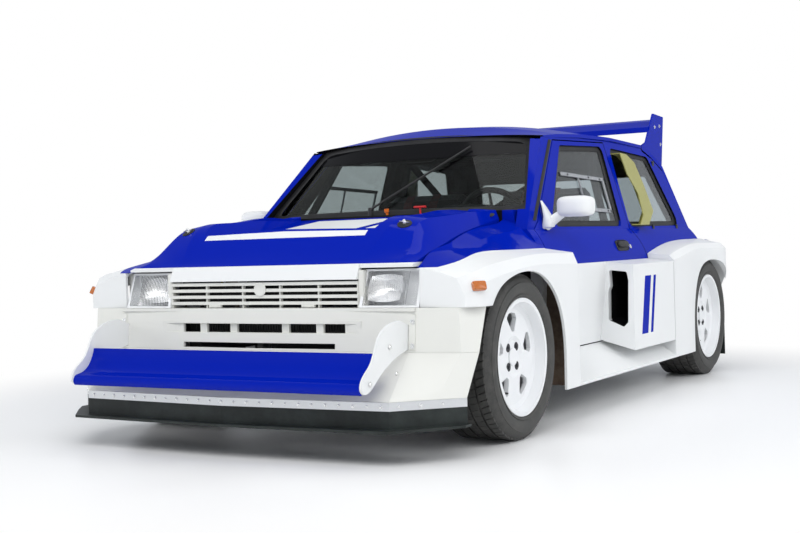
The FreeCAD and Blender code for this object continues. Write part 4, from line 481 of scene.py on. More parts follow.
def circle(count, start=0.0):
    """Cosine and sine at even steps round a circle, from start steps on."""
    angles = [math.tau * (step + start) / count for step in range(count)]
    return [(math.cos(angle), math.sin(angle)) for angle in angles]


def rings(mesh, loops, closed=True, caps=True):
    """Skins a list of rings, each a list of points, and caps the ends."""
    rows = [[mesh.verts.new(point) for point in loop] for loop in loops]
    count = len(rows[0])
    for row, following in zip(rows, rows[1:]):
        for index in range(count if closed else count - 1):
            after = (index + 1) % count
            mesh.faces.new((row[index], row[after], following[after], following[index]))
    if caps:
        mesh.faces.new(list(reversed(rows[0])))
        mesh.faces.new(rows[-1])


def revolve(mesh, profile, centre, segments, axis=ACROSS):
    """Turns (along, radius) points round an axis through centre, across the car or along it."""
    other = ALONG if axis == ACROSS else ACROSS
    rings(mesh, [[centre + along * axis + radius * c * other + radius * s * UP for c, s in circle(segments)]
                 for along, radius in profile], caps=False)


def tube(mesh, points, radius, sides=10):
    """A round tube through points; radius is one number or one for each point."""
    points = [Vector(point) for point in points]
    radii = radius if isinstance(radius, (list, tuple)) else [radius] * len(points)
    loops = []
    for index, (point, size) in enumerate(zip(points, radii)):
        before = points[max(index - 1, 0)]
        after = points[min(index + 1, len(points) - 1)]
        turn = (after - before).normalized().to_track_quat("Z", "Y")
        loops.append([point + turn @ Vector((size * c, size * s, 0)) for c, s in circle(sides)])
    rings(mesh, loops)


def stem(mesh, root, direction, steps, sides=10):
    """A straight tube from a root; steps are its lengths along, each with a radius."""
    points = [root + direction * along for along, radius in steps]
    tube(mesh, points, [radius for along, radius in steps], sides)


def block(mesh, low, high, edge=0.0):
    """A box with broken edges."""
    low, high = Vector(low), Vector(high)
    verts = bmesh.ops.create_cube(mesh, size=1.0)["verts"]
    for vert in verts:
        vert.co = vert.co * (high - low) + (low + high) / 2
    if edge:
        edges = list({line for vert in verts for line in vert.link_edges})
        bmesh.ops.bevel(mesh, geom=edges, offset=edge, segments=2, affect="EDGES")


# Rings of a bolt, as shares of its radius and height, after the number of sides
WASHER = (12, ((1.6, 0), (1.6, 0.2), (1.1, 0.25)))
HEXAGON = (6, ((1.0, 0.2), (1.0, 0.85), (0.7, 1.0)))


def bolt(mesh, place, direction, radius, height):
    """A domed hexagon head on its washer."""
    turn = Vector(direction).normalized().to_track_quat("Z", "Y")
    for sides, steps in (WASHER, HEXAGON):
        rings(mesh, [[Vector(place) + turn @ Vector((size * radius * c, size * radius * s, rise * height))
                      for c, s in circle(sides)] for size, rise in steps])


def egg(mesh, stations, power, count=28):
    """Skins rounded oblongs; each is centre, half width, half height and the directions they lie in."""
    shape = [[math.copysign(abs(part) ** (2 / power), part) for part in pair] for pair in circle(count, 0.5)]
    rings(mesh, [[centre + across * (wide * c) + rise * (high * s) for c, s in shape]
                 for centre, wide, high, across, rise in stations])


def boss(mesh, place, out, wide, high, across, rise, steps, power, count=28):
    """A rounded plate standing out from a place; steps are its heights, each with a share of its size."""
    egg(mesh, [(place + out * height, wide * size, high * size, across, rise) for height, size in steps],
        power, count)


# Where rays start, outside the car
FAR_SIDE_X = 1.3
FAR_FRONT_Y = FRONT_AXLE_Y - 1.2
FAR_TOP_Z = 1.4


def hit(node, origin, direction):
    """Where a line first meets a CAD node, and the outward direction there."""
    thing = frame["nodes"][node]
    back = thing.matrix_world.inverted()
    found, place, normal, face = thing.ray_cast(back @ Vector(origin), back.to_3x3() @ Vector(direction))
    if not found:
        return Vector(origin), -Vector(direction).normalized()
    return thing.matrix_world @ place, (thing.matrix_world.to_3x3() @ normal).normalized()


def side_hit(node, sign, y, z):
    return hit(node, (sign * FAR_SIDE_X, y, z), (-sign, 0, 0))


def front_hit(node, x, z):
    return hit(node, (x, FAR_FRONT_Y, z), (0, 1, 0))


def top_hit(node, x, y):
    return hit(node, (x, y, FAR_TOP_Z), (0, 0, -1))


# Wheels

TREAD_PITCHES = 68
TREAD_DEPTH = 0.0070
TREAD_ROOT = -0.003
RIB_EDGES = (-0.100, -0.066, -0.058, -0.024, -0.017, 0.017, 0.024, 0.058, 0.066, 0.100)
RIB_LEAN = (0.45, 0.30, 0.0, -0.30, -0.45)
RIB_FILL = (0.86, 0.93, 0.93, 0.93, 0.86)
CROWN = TYRE_RADIUS - TREAD_DEPTH
SIDEWALL = ((0.100, 0.2128), (0.109, 0.2215), (0.1185, 0.2260), (0.1225, 0.2330), (0.1190, 0.2355),
            (0.1225, 0.2440), (TYRE_HALF, 0.2580), (TYRE_HALF - 0.0010, 0.2680), (0.1240, 0.2700),
            (0.1232, 0.2780), (0.1196, 0.2800), (0.1150, 0.2880), (0.1080, 0.2970), (0.1000, CROWN))
TYRE_SEGMENTS = 144


def tyre(side, sign, end, axle_y):
    """Carcass turned from its section, with plain sidewall ribs and a band of leaning tread blocks."""
    centre = Vector((sign * HALF_TRACK, axle_y, AXLE_HEIGHT))
    section = list(SIDEWALL) + [(-x, radius) for x, radius in reversed(SIDEWALL)]
    mesh = bmesh.new()
    revolve(mesh, [(sign * x, radius) for x, radius in section], centre, TYRE_SEGMENTS)
    step = math.tau / TREAD_PITCHES
    for rib, (lean, fill) in enumerate(zip(RIB_LEAN, RIB_FILL)):
        low, high = RIB_EDGES[2 * rib], RIB_EDGES[2 * rib + 1]
        for index in range(TREAD_PITCHES):
            start = step * (index + 0.5 * (rib % 2))
            slant = start + lean * step
            corners = ((low, start), (low, start + fill * step), (high, slant + fill * step), (high, slant))
            rings(mesh, [[centre + Vector((sign * x, radius * math.cos(turn), radius * math.sin(turn)))
                          for x, turn in corners] for radius in (CROWN + TREAD_ROOT, CROWN + TREAD_DEPTH)])
    corner = "_%s_%s" % (end, side)
    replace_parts(piece("tread" + corner, mesh, "tyre", "wheel" + corner, 28.0), "tyre" + corner)


RIM_EDGE_X = 0.116
FACE_SET_BACK = 0.046
HUB_FACE = RIM_EDGE_X - FACE_SET_BACK
NUT_CIRCLE = 0.051
NUT_SEAT = ((0.0004, 0.0), (0.0004, 0.0165), (0.0020, 0.0165), (0.0020, 0.0135), (0.0008, 0.012))
NUT_SIZE = (0.0070, 0.007)
VALVE_ROOT = (-0.004, -0.105, -0.125)
VALVE_STEPS = ((0.0, 0.006), (0.012, 0.005), (0.030, 0.004), (0.033, 0.003))
DISC_OUTER_X = HUB_FACE - 0.075
DISC_INNER_X = DISC_OUTER_X - 0.024
DISC_BORE = 0.064
DISC_RADIUS = 0.142
DISC_SECTION = ((DISC_INNER_X, DISC_BORE), (DISC_INNER_X, DISC_RADIUS), (DISC_OUTER_X, DISC_RADIUS),
                (DISC_OUTER_X, DISC_BORE), (DISC_INNER_X, DISC_BORE))


def wheel_fittings(side, sign, end, axle_y):
    """Nuts, valve and the brake disc behind the slots."""
    centre = Vector((sign * HALF_TRACK, axle_y, AXLE_HEIGHT))
    corner = "_%s_%s" % (end, side)
    nuts, valve, disc = bmesh.new(), bmesh.new(), bmesh.new()
    for c, s in circle(4, 0.5):
        place = centre + Vector((sign * HUB_FACE, NUT_CIRCLE * c, NUT_CIRCLE * s))
        revolve(nuts, [(sign * along, radius) for along, radius in NUT_SEAT], place, 24)
        bolt(nuts, place, (sign, 0, 0), *NUT_SIZE)
    piece("nuts" + corner, nuts, "dark", "wheel" + corner)
    root = centre + Vector((sign * (HUB_FACE + VALVE_ROOT[0]), *VALVE_ROOT[1:]))
    stem(valve, root, sign * ACROSS, VALVE_STEPS)
    piece("valve" + corner, valve, "trim", "wheel" + corner)
    revolve(disc, [(sign * along, radius) for along, radius in DISC_SECTION], centre, 64)
    piece("brake_disc" + corner, disc, "iron", "wheel" + corner)


# Headlamps and grille

LAMP_LOW_Z = 0.5205
LAMP_HIGH_Z = 0.657
LAMP_INNER_LOW = Vector((0.437, FRONT_AXLE_Y - 0.450, LAMP_LOW_Z))
LAMP_OUTER_LOW = Vector((0.676, FRONT_AXLE_Y - 0.4336, LAMP_LOW_Z))
LAMP_OUTER_HIGH = Vector((0.676, FRONT_AXLE_Y - 0.3848, LAMP_HIGH_Z))
LAMP_INNER_HIGH = Vector((0.449, FRONT_AXLE_Y - 0.4108, LAMP_HIGH_Z))
LAMP_BACK_Y = FRONT_AXLE_Y - 0.356
LAMP_BACK_WALL = 0.012
LAMP_RIM_SHARE = 0.105
LAMP_SPLIT_SHARE = 0.74
LAMP_PANES = (("main", 0.055, LAMP_SPLIT_SHARE, "lamp", 0.006),
              ("outer", LAMP_SPLIT_SHARE + 0.03, 0.945, "clear", 0.002))
PANE_MARGIN_SHARE = 0.075
PANE_DEPTH = -0.001
PANE_THICKNESS = 0.003
PANE_STEPS = 8
LAMP_FILLERS = ((0.431, 0.456, FRONT_AXLE_Y - 0.438), (0.671, 0.702, FRONT_AXLE_Y - 0.388))
FILLER_HEIGHTS = (0.5215, 0.6560)
FILLER_DEPTH = 0.030
BOWL_STEPS = 8
BOWL_NARROWING = 0.88
BOWL_SQUARENESS = 0.6
BOWL_SIZE_SHARES = (0.30, 0.36)
BOWL_DEPTHS = (0.010, 0.050)
BULB_ROOT = 0.058
BULB_STEPS = ((0.0, 0.013), (0.012, 0.012), (0.026, 0.009), (0.036, 0.003))


def lamp_face(across, rise, depth=0.0):
    """A point on the lamp's front, by shares across from the inner side and up, set back by depth."""
    low = LAMP_INNER_LOW.lerp(LAMP_OUTER_LOW, across)
    return low.lerp(LAMP_INNER_HIGH.lerp(LAMP_OUTER_HIGH, across), rise) + depth * ALONG


def lamp_pane(mesh, start, end, bow):
    """A slightly bowed pane on the lamp's front between two shares across."""
    loops = []
    for row in range(PANE_STEPS + 1):
        rise = PANE_MARGIN_SHARE + (1 - 2 * PANE_MARGIN_SHARE) * row / PANE_STEPS
        front, back = [], []
        for column in range(PANE_STEPS + 1):
            share = column / PANE_STEPS
            across = start + (end - start) * share
            swell = bow * (1 - (2 * share - 1) ** 4) * (1 - (2 * row / PANE_STEPS - 1) ** 4)
            front.append(lamp_face(across, rise, PANE_DEPTH - swell))
            back.append(lamp_face(across, rise, PANE_DEPTH - swell + PANE_THICKNESS))
        loops.append(front + list(reversed(back)))
    rings(mesh, loops)


def lamp_bowl(mesh):
    """The squarish reflector behind the main lens, narrowing towards its back."""
    loops = []
    for row in range(BOWL_STEPS + 1):
        share = row / BOWL_STEPS
        size = math.sqrt(1 - BOWL_NARROWING * share)
        depth = BOWL_DEPTHS[0] + BOWL_DEPTHS[1] * share
        loop = []
        for c, s in circle(32):
            square = 1 / max(abs(c), abs(s)) ** BOWL_SQUARENESS
            across = LAMP_SPLIT_SHARE / 2 + BOWL_SIZE_SHARES[0] * size * square * c
            loop.append(lamp_face(across, 0.5 + BOWL_SIZE_SHARES[1] * size * square * s, depth))
        loops.append(loop)
    rings(mesh, loops, caps=False)


def headlamp(side, sign):
    """Fillers beside the lamp, its case, a ribbed main pane over bowl and bulb, and a clear outer pane."""
    case, fillers, bowl, bulb = bmesh.new(), bmesh.new(), bmesh.new(), bmesh.new()
    for x0, x1, y in LAMP_FILLERS:
        xs = sorted((sign * x0, sign * x1))
        block(fillers, (xs[0], y, FILLER_HEIGHTS[0]), (xs[1], y + FILLER_DEPTH, FILLER_HEIGHTS[1]), 0.003)
    piece("lamp_fillers_" + side, fillers, "bumper", "body")
    outline = [lamp_face(0, 0), lamp_face(1, 0), lamp_face(1, 1), lamp_face(0, 1)]
    middle = sum(outline, Vector()) / 4
    inner = [point + (middle - point) * LAMP_RIM_SHARE for point in outline]
    back = [Vector((point.x, LAMP_BACK_Y, point.z)) for point in outline]
    deep = [Vector((point.x, LAMP_BACK_Y - LAMP_BACK_WALL, point.z)) for point in inner]
    rings(case, [back, outline, inner, deep])
    case = piece("lamp_case_" + side, to_side(case, sign), "lamp_back", "body", 30)
    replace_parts(case, "headlamps")
    for name, start, end, key, bow in LAMP_PANES:
        pane = bmesh.new()
        lamp_pane(pane, start, end, bow)
        piece("lamp_%s_%s" % (name, side), to_side(pane, sign), key, "body", 50)
    lamp_bowl(bowl)
    piece("lamp_bowl_" + side, to_side(bowl, sign), "chrome", "body", 60)
    root = lamp_face(LAMP_SPLIT_SHARE / 2, 0.5, BULB_ROOT)
    stem(bulb, root, -ALONG, BULB_STEPS, 16)
    piece("lamp_bulb_" + side, to_side(bulb, sign), "bright", "body")


CORE_HALF = 0.425
CORE_DEPTH = 0.012
CORE_LEVELS = ((0.530, 0.612, FRONT_AXLE_Y - 0.405), (0.385, 0.505, FRONT_AXLE_Y - 0.385))
FIN_COUNT = 70
FIN_START_X = -0.42
FIN_PITCH = 0.012
FIN = (0.002, 0.004)
BRACKET_PLACES_X = (-0.245, 0.187)
BRACKET_LOW = (0, -0.003, 0.5215)
BRACKET_HIGH = (0.058, 0.010, 0.5330)
BRACKET_BOLTS = (0.012, 0.046)
BRACKET_BOLT_Z = 0.5272
BADGE_BOSS_Z = 0.590
BADGE_BOSS = ((0.008, 0.0), (0.0, 0.0265), (-0.0035, 0.0265), (-0.0045, 0.0225), (-0.0030, 0.0205),
              (-0.0038, 0.0))


def nose_backing():
    """Radiator core behind grille and slots, with the grille's lower brackets and a bare round boss."""
    core, fittings = bmesh.new(), bmesh.new()
    thick, proud = FIN
    for low, high, y in CORE_LEVELS:
        block(core, (-CORE_HALF, y, low), (CORE_HALF, y + CORE_DEPTH, high))
        for index in range(FIN_COUNT):
            x = FIN_START_X + FIN_PITCH * index
            block(core, (x, y - proud, low + thick), (x + thick, y, high - thick))
    piece("radiator_core", core, "trim", "body")
    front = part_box("grille")[0].y
    for x in BRACKET_PLACES_X:
        corner = Vector((x, front, 0))
        block(fittings, corner + Vector(BRACKET_LOW), corner + Vector(BRACKET_HIGH), 0.0012)
        for shift in BRACKET_BOLTS:
            bolt(fittings, (x + shift, front + BRACKET_LOW[1], BRACKET_BOLT_Z), (0, -1, 0), 0.0032, 0.003)
    revolve(fittings, BADGE_BOSS, Vector((0, front, BADGE_BOSS_Z)), 40, ALONG)
    piece("grille_fittings", fittings, "bumper", "body")


# Glass

RIM_STEP = 0.008


def pane_rim(node, outward, sign):
    """The edge of a pane's outer face in order, as even steps, with the face's direction at each."""
    thing = frame["nodes"][node]
    turn = thing.matrix_world.to_3x3()
    points, uses = {}, {}
    for polygon in thing.data.polygons:
        normal = (turn @ polygon.normal).normalized()
        places = [thing.matrix_world @ thing.data.vertices[index].co for index in polygon.vertices]
        if normal.dot(outward) < 0.75 or (sign and places[0].x * sign < 0):
            continue
        keys = [tuple(round(part, 5) for part in place) for place in places]
        points.update(zip(keys, places))
        for pair in zip(keys, keys[1:] + keys[:1]):
            uses.setdefault(frozenset(pair), []).append((pair, normal))
    following = {found[0][0][0]: (found[0][0][1], found[0][1]) for found in uses.values() if len(found) == 1}
    start = next(iter(following))
    walk = [start]
    while following[walk[-1]][0] != start and len(walk) <= len(following):
        walk.append(following[walk[-1]][0])
    rim, normals, carry = [], [], 0.0
    for first, second in zip(walk, walk[1:] + walk[:1]):
        length = (points[second] - points[first]).length
        while carry < length:
            rim.append(points[first].lerp(points[second], carry / length))
            normals.append(following[first][1])
            carry += RIM_STEP
        carry -= length
    return rim, normals


def softened(loop, reach):
    """Each point drawn to the middle of its neighbours on both sides, which rounds the corners."""
    near = range(-reach, reach + 1)
    return [sum((loop[(index + step) % len(loop)] for step in near), Vector()) / len(near)
            for index in range(len(loop))]


def seal(name, node, outward, body, width, lap, rise, turn=0, sign=0):
    """Rubber moulding round a pane, lapping the panel outside it and the glass inside it."""
    rim, normals = pane_rim(node, Vector(outward).normalized(), sign)
    normals = [normal.normalized() for normal in softened(normals, 3)]
    middle = sum(rim, Vector()) / len(rim)
    soft = softened(rim, turn) if turn else rim
    count = len(rim)
    rows = []
    for source, shift, height in (
            (rim, -lap, -0.002), (rim, -0.8 * lap, 0.6 * rise), (rim, -0.3 * lap, rise),
            (soft, 0.35 * width, rise), (soft, 0.9 * width, 0.55 * rise), (soft, width, -0.001)):
        row = []
        for index, place in enumerate(source):
            run = source[(index + 2) % count] - source[index - 2]
            inward = normals[index].cross(run).normalized()
            if inward.dot(middle - place) < 0:
                inward.negate()
            row.append(place + inward * shift + normals[index] * height)
        rows.append(softened(row, 2))
    mesh = bmesh.new()
    rings(mesh, rows, caps=False)
    piece(name, mesh, "seal", body, 50)


# Width, lap, rise and the reach of the corners' rounding
SCREEN_SEAL = (0.028, 0.016, 0.006, 9)
TAILGATE_SEAL = (0.020, 0.008, 0.004, 4)
DOOR_SEAL = (0.028, 0.004, 0.004, 3)
QUARTER_SEAL = (0.026, 0.004, 0.004, 3)
# Sliding windows' channels: start, end and height, with places as y and z
RAILS = (((-0.065, 1.037), (0.448, 1.023), 0.017), ((-0.180, 0.884), (0.433, 0.871), 0.017),
         ((0.437, 0.876), (0.437, 1.018), 0.012), ((0.130, 0.884), (0.130, 1.026), 0.008))
RAIL_STEPS = 8
RAIL_DEPTH = 0.007
RAIL_WEB = 0.004
RAIL_SCREW_SEAT = 0.006
RAIL_SCREWS = ((0.010, 1.035), (0.260, 1.029), (0.400, 1.024), (0.090, 0.880), (0.400, 0.872))
QUARTER_CLIPS = ((1.345, 0.788), (0.960, 0.788), (1.245, 1.130))
CLIP_LOW = Vector((-0.004, -0.013, -0.008))
CLIP_HIGH = Vector((0.004, 0.013, 0.018))
GLASS_LIFT = 0.001


def rail(mesh, side, sign, start, end, height):
    """A sliding window's channel on the glass, from start to end in y and z."""
    loops = []
    run = Vector((0, end[0] - start[0], end[1] - start[1]))
    for step in range(RAIL_STEPS + 1):
        place = Vector((0, *start)) + run * (step / RAIL_STEPS)
        place, normal = side_hit("door_glass_" + side, sign, place.y, place.z)
        place += normal * GLASS_LIFT
        up = normal.cross(run).normalized() * height / 2
        loops.append([place + up * share + normal * depth for share, depth in (
            (-1, 0), (-1, RAIL_DEPTH), (-0.4, RAIL_WEB), (0.4, RAIL_WEB), (1, RAIL_DEPTH), (1, 0))])
    rings(mesh, loops)


PILLAR_FOOT = Vector((-0.500, 0.826))
PILLAR_HEAD = Vector((-0.0905, 1.190))
PILLAR_STEPS = 12
MOULDING_WIDTH = 0.0325
MOULDING_SECTION = ((0.0, 0.0005), (0.15, 0.0045), (0.5, 0.0055), (0.85, 0.0045), (1.0, 0.0005))


def drip_moulding(side, sign):
    """Black channel along the screen pillar, just ahead of the door."""
    rows = []
    for step in range(PILLAR_STEPS + 1):
        y, z = PILLAR_FOOT.lerp(PILLAR_HEAD, step / PILLAR_STEPS)
        rows.append([side_hit("body_sides", sign, y - MOULDING_WIDTH * share, z)[0] + sign * height * ACROSS
                     for share, height in MOULDING_SECTION])
    mesh = bmesh.new()
    rings(mesh, rows, False, False)
    piece("drip_moulding_" + side, mesh, "seal", "body", 50)


def windows():
    """Mouldings round all the glass, the door windows' sliders and the quarter windows' clips."""
    seal("screen_seal", "windscreen", (0, -0.75, 0.65), "body", *SCREEN_SEAL)
    seal("tailgate_seal", "tailgate_glass", (0, 0.55, 0.83), "tailgate", *TAILGATE_SEAL)
    clips = bmesh.new()
    for side, sign in SIDES:
        drip_moulding(side, sign)
        outward = (sign, 0, 0.28)
        seal("door_seal_" + side, "door_glass_" + side, outward, "door_" + side, *DOOR_SEAL)
        seal("quarter_seal_" + side, "quarter_windows", outward, "body", *QUARTER_SEAL, sign)
        rails = bmesh.new()
        for start, end, height in RAILS:
            rail(rails, side, sign, start, end, height)
        piece("slider_rails_" + side, rails, "clear_rail", "door_" + side)
        for y, z in RAIL_SCREWS:
            place, normal = side_hit("door_glass_" + side, sign, y, z)
            bolt(clips, place + normal * (GLASS_LIFT + RAIL_SCREW_SEAT), normal, 0.0032, 0.003)
        for y, z in QUARTER_CLIPS:
            place = side_hit("body_sides", sign, y, z)[0]
            block(clips, place + CLIP_LOW, place + CLIP_HIGH, 0.0015)
    piece("window_clips", clips, "trim", "body")


# Mirrors, handles and side lamps

HOUSING_HALF = (0.076, 0.044)
HOUSING_OFFSET = (0.077, 0.060, 0.050)
HOUSING_STEPS = ((-0.050, 0.30), (-0.047, 0.62), (-0.038, 0.84), (-0.022, 0.96), (0.0, 1.0),
                 (0.030, 0.985), (0.046, 0.955), (0.046, 0.90), (0.034, 0.88))
MIRROR_GLASS_HALF = (0.066, 0.038)
MIRROR_GLASS_STEPS = ((0.036, 1), (0.0385, 1))
MIRROR_ROOT = (0.018, 0.012)
# Each step of the foot: place from its root, half width and half depth
CRESCENT = ((-0.004, 0.002, -0.008, 0.010, 0.030), (0.012, 0.0, 0.0, 0.024, 0.034),
            (0.018, 0.0, 0.020, 0.025, 0.034), (0.012, 0.0, 0.045, 0.016, 0.028),
            (-0.002, 0.004, 0.078, 0.009, 0.020), (-0.022, 0.012, 0.112, 0.003, 0.008))
ARM_ROOT = (0.010, 0.004, 0.012)
ARM_HEAD = (-0.050, 0.004, -0.022)
ARM_STEPS = (0, 0.35, 0.7, 1)


def mirror(side, sign):
    """Moulded housing on a crescent foot that follows the window's front corner, with its glass."""
    low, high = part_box("mirror_" + side)
    out = max(abs(low.x), abs(high.x))
    in_x, back_y, down_z = HOUSING_OFFSET
    middle = Vector((sign * (out - in_x), low.y + back_y, high.z - down_z))
    mesh, face = bmesh.new(), bmesh.new()
    boss(mesh, middle, ALONG, *HOUSING_HALF, ACROSS, UP, HOUSING_STEPS, 4.2)
    body = "door_" + side
    root = side_hit(body, sign, low.y + MIRROR_ROOT[0], low.z + MIRROR_ROOT[1])[0]
    egg(mesh, [(root + Vector((sign * x, y, z)), wide, deep, ACROSS, ALONG)
               for x, y, z, wide, deep in CRESCENT], 2.4, 20)
    start, end = [place + Vector((sign * x, y, z))
                  for place, (x, y, z) in ((root, ARM_ROOT), (middle, ARM_HEAD))]
    egg(mesh, [(start.lerp(end, share), 0.030 - 0.004 * share, 0.026 - 0.006 * share, ALONG, UP)
               for share in ARM_STEPS], 2.4, 20)
    shell = piece("mirror_shell_" + side, mesh, "gloss_white", body, 42)
    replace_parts(shell, "mirror_" + side)
    boss(face, middle, ALONG, *MIRROR_GLASS_HALF, ACROSS, UP, MIRROR_GLASS_STEPS, 4.2)
    piece("mirror_glass_" + side, face, "chrome", body)


HANDLE_PLACE = (0.355, 0.706)
RECESS_HALF = (0.078, 0.027)
HANDLE_RECESS = ((-0.004, 1.0), (0.0035, 1.0), (0.0055, 0.95), (0.0015, 0.90))
LEVER_RISE = 0.004
LEVER_HALF = (0.066, 0.0155)
HANDLE_LEVER = ((0.0, 0.90), (0.009, 1.0), (0.014, 0.96), (0.016, 0.80))
LOCK_PLACE = (0.462, 0.700)
LOCK_HALF = (0.011, 0.011)
LOCK_STEPS = ((-0.002, 1.0), (0.003, 1.0), (0.004, 0.85))
SIDE_LAMP_PLACE = (FRONT_AXLE_Y - 0.392, 0.591)
SIDE_LAMP_HALF = (0.026, 0.0165)
SIDE_LAMP_STEPS = ((-0.003, 1.0), (0.009, 1.0), (0.012, 0.93), (0.013, 0.60))


def side_fittings(side, sign):
    """Door handle in its recess, lock and side lamp."""
    door = "door_" + side
    trim, lock, lamp = bmesh.new(), bmesh.new(), bmesh.new()
    place, normal = side_hit(door, sign, *HANDLE_PLACE)
    rise = normal.cross(ALONG).normalized()
    if rise.z < 0:
        rise.negate()
    boss(trim, place, normal, *RECESS_HALF, ALONG, rise, HANDLE_RECESS, 5.0)
    boss(trim, place + rise * LEVER_RISE, normal, *LEVER_HALF, ALONG, rise, HANDLE_LEVER, 4.0)
    piece("door_handle_" + side, trim, "trim", door)
    place, normal = side_hit(door, sign, *LOCK_PLACE)
    boss(lock, place, normal, *LOCK_HALF, ALONG, rise, LOCK_STEPS, 2.0, 20)
    piece("door_lock_" + side, lock, "bright", door)
    place, normal = side_hit("front_fenders", sign, *SIDE_LAMP_PLACE)
    run = normal.cross(UP).normalized()
    boss(lamp, place, normal, *SIDE_LAMP_HALF, run, run.cross(normal).normalized(), SIDE_LAMP_STEPS, 7.0)
    piece("side_lamp_" + side, lamp, "amber", "body")


# Nose and bonnet

PLATE_FACE_X = 0.6515
PLATE_BOLTS = ((-0.600, 0.395), (-0.735, 0.283), (-0.560, 0.300))
FLANGE_EDGES_X = (0.652, 0.676)
FLANGE_LEVELS = (0.374, 0.415, 0.455, 0.497)
FLANGE_BOLT_X = 0.665
FLANGE_BOLT_LEVELS = (0.388, 0.471)
FLANGE_STAND = Vector((0, 0.0035, 0))
FLANGE_THICKNESS = Vector((0, 0.003, 0))
RIVET_COUNT = 15
RIVET_PITCH = 0.054
RIVET_HEIGHT = 0.199


def nose_fastenings():
    """Bolts of the end plates with their flanges on the bumper, and rivets along the aluminium strip."""
    plates, bolts = bmesh.new(), bmesh.new()
    for sign in (1, -1):
        for y, z in PLATE_BOLTS:
            bolt(bolts, (sign * PLATE_FACE_X, FRONT_AXLE_Y + y, z), (sign, 0, 0), 0.0055, 0.005)
        front, back = [[front_hit("front_bumper", sign * x, z)[0] - FLANGE_STAND for z in FLANGE_LEVELS]
                       for x in FLANGE_EDGES_X]
        outline = front + list(reversed(back))
        rings(plates, [outline, [point + FLANGE_THICKNESS for point in outline]])
        for z in FLANGE_BOLT_LEVELS:
            place = front_hit("front_bumper", sign * FLANGE_BOLT_X, z)[0]
            bolt(bolts, place - FLANGE_STAND, (0, -1, 0), 0.0062, 0.006)
    piece("plate_flanges", plates, "bumper", "body")
    for index in range(-RIVET_COUNT, RIVET_COUNT + 1):
        place, normal = front_hit("skirt_strip", RIVET_PITCH * index, RIVET_HEIGHT)
        if normal.y < -0.2:
            bolt(bolts, place, normal, 0.0035 if index % 2 else 0.0050, 0.003)
    piece("nose_bolts", bolts, "bright", "body")


PIN_PLACE = (0.512, FRONT_AXLE_Y - 0.229)
PIN_PLATE_HALF = (0.028, 0.028)
PIN_PLATE = ((-0.002, 1.0), (0.002, 1.0), (0.003, 0.9))
PIN_STEPS = ((-0.004, 0.0065), (0.015, 0.0065), (0.019, 0.004))
PIN_CLIP_STEPS = 12
PIN_CLIP_HEIGHT = 0.010
PIN_CLIP_HALF = (0.020, 0.010, 0.006)
FASTENER_PLACE = (0.560, FRONT_AXLE_Y + 0.400)
FASTENER_HALF = (0.014, 0.014)
FASTENER_STEPS = ((-0.002, 1.0), (0.004, 1.0), (0.006, 0.7))
PULL_OFFSET = Vector((0, -0.006, -0.004))
CUT_OFF_X = 0.012
CUT_OFF_STEPS = ((0.0, 0.0, 0.006), (-0.004, 0.018, 0.006), (-0.005, 0.020, 0.010), (-0.007, 0.034, 0.011),
                 (-0.007, 0.036, 0.005))
HANDLE_X = 0.179
HANDLE_HALF = 0.029


def bonnet_fittings():
    """Pins with plates and clips, quick fasteners at the rear corners, and two pulls before the screen."""
    pins, plates, pull, handle = bmesh.new(), bmesh.new(), bmesh.new(), bmesh.new()
    for sign in (1, -1):
        place, normal = top_hit("bonnet", sign * PIN_PLACE[0], PIN_PLACE[1])
        run = normal.cross(ALONG).normalized()
        rise = normal.cross(run).normalized()
        boss(plates, place, normal, *PIN_PLATE_HALF, run, rise, PIN_PLATE, 2.0, 24)
        stem(pins, place, normal, PIN_STEPS, 12)
        wide, deep, tall = PIN_CLIP_HALF
        angles = [math.tau * step / PIN_CLIP_STEPS for step in range(PIN_CLIP_STEPS + 1)]
        tube(pins, [place + normal * (PIN_CLIP_HEIGHT + tall * math.sin(angle)) + run * wide * math.cos(angle)
                    + rise * deep * math.sin(angle) for angle in angles], 0.0016, 6)
        place, normal = top_hit("bonnet", sign * FASTENER_PLACE[0], FASTENER_PLACE[1])
        boss(plates, place, normal, *FASTENER_HALF, run, rise, FASTENER_STEPS, 2.0, 20)
    piece("bonnet_pins", pins, "bright", "bonnet")
    piece("bonnet_plates", plates, "trim", "bonnet")
    y, foot = (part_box("windscreen")[0] + PULL_OFFSET).yz
    tube(pull, [(CUT_OFF_X, y + shift, foot + rise) for shift, rise, radius in CUT_OFF_STEPS],
         [radius for shift, rise, radius in CUT_OFF_STEPS], 16)
    piece("cut_off_pull", pull, "orange", "body")
    top = Vector((HANDLE_X, y - 0.004, foot + 0.036))
    tube(handle, [(HANDLE_X, y, foot), top - 0.002 * UP], 0.0045, 12)
    tube(handle, [top - HANDLE_HALF * ACROSS, top + HANDLE_HALF * ACROSS], 0.0050, 12)
    piece("extinguisher_pull", handle, "pull", "body")


# Cabin

INNER_MIRROR_PLACE = Vector((-0.023, -0.190, 1.150))
INNER_MIRROR_HALF = (0.092, 0.030)
INNER_MIRROR_STEPS = ((-0.012, 0.80), (-0.008, 0.97), (0.006, 1.0), (0.010, 0.97))
INNER_MIRROR_STEM = ((-0.023, -0.195, 1.165), (-0.023, -0.205, 1.196))
SEAT_X = 0.330
HOOD_OFFSET = Vector((SEAT_X, -0.145, -0.010))
HOOD_HALF = (0.165, 0.060)
HOOD_STEPS = ((0.0, 0.75), (0.02, 1.0), (0.145, 1.0), (0.150, 0.97), (0.150, 0.90), (0.120, 0.88))
SWITCH_COUNT = 8
SWITCH_START = Vector((-0.200, 0, -0.100))
SWITCH_PITCH = 0.035
SWITCH = Vector((0.018, 0.010, 0.028))
DIALS = ((SEAT_X - 0.055, 0.040), (SEAT_X + 0.055, 0.040), (SEAT_X, 0.022))
DIAL_SET = (-0.026, -0.008)
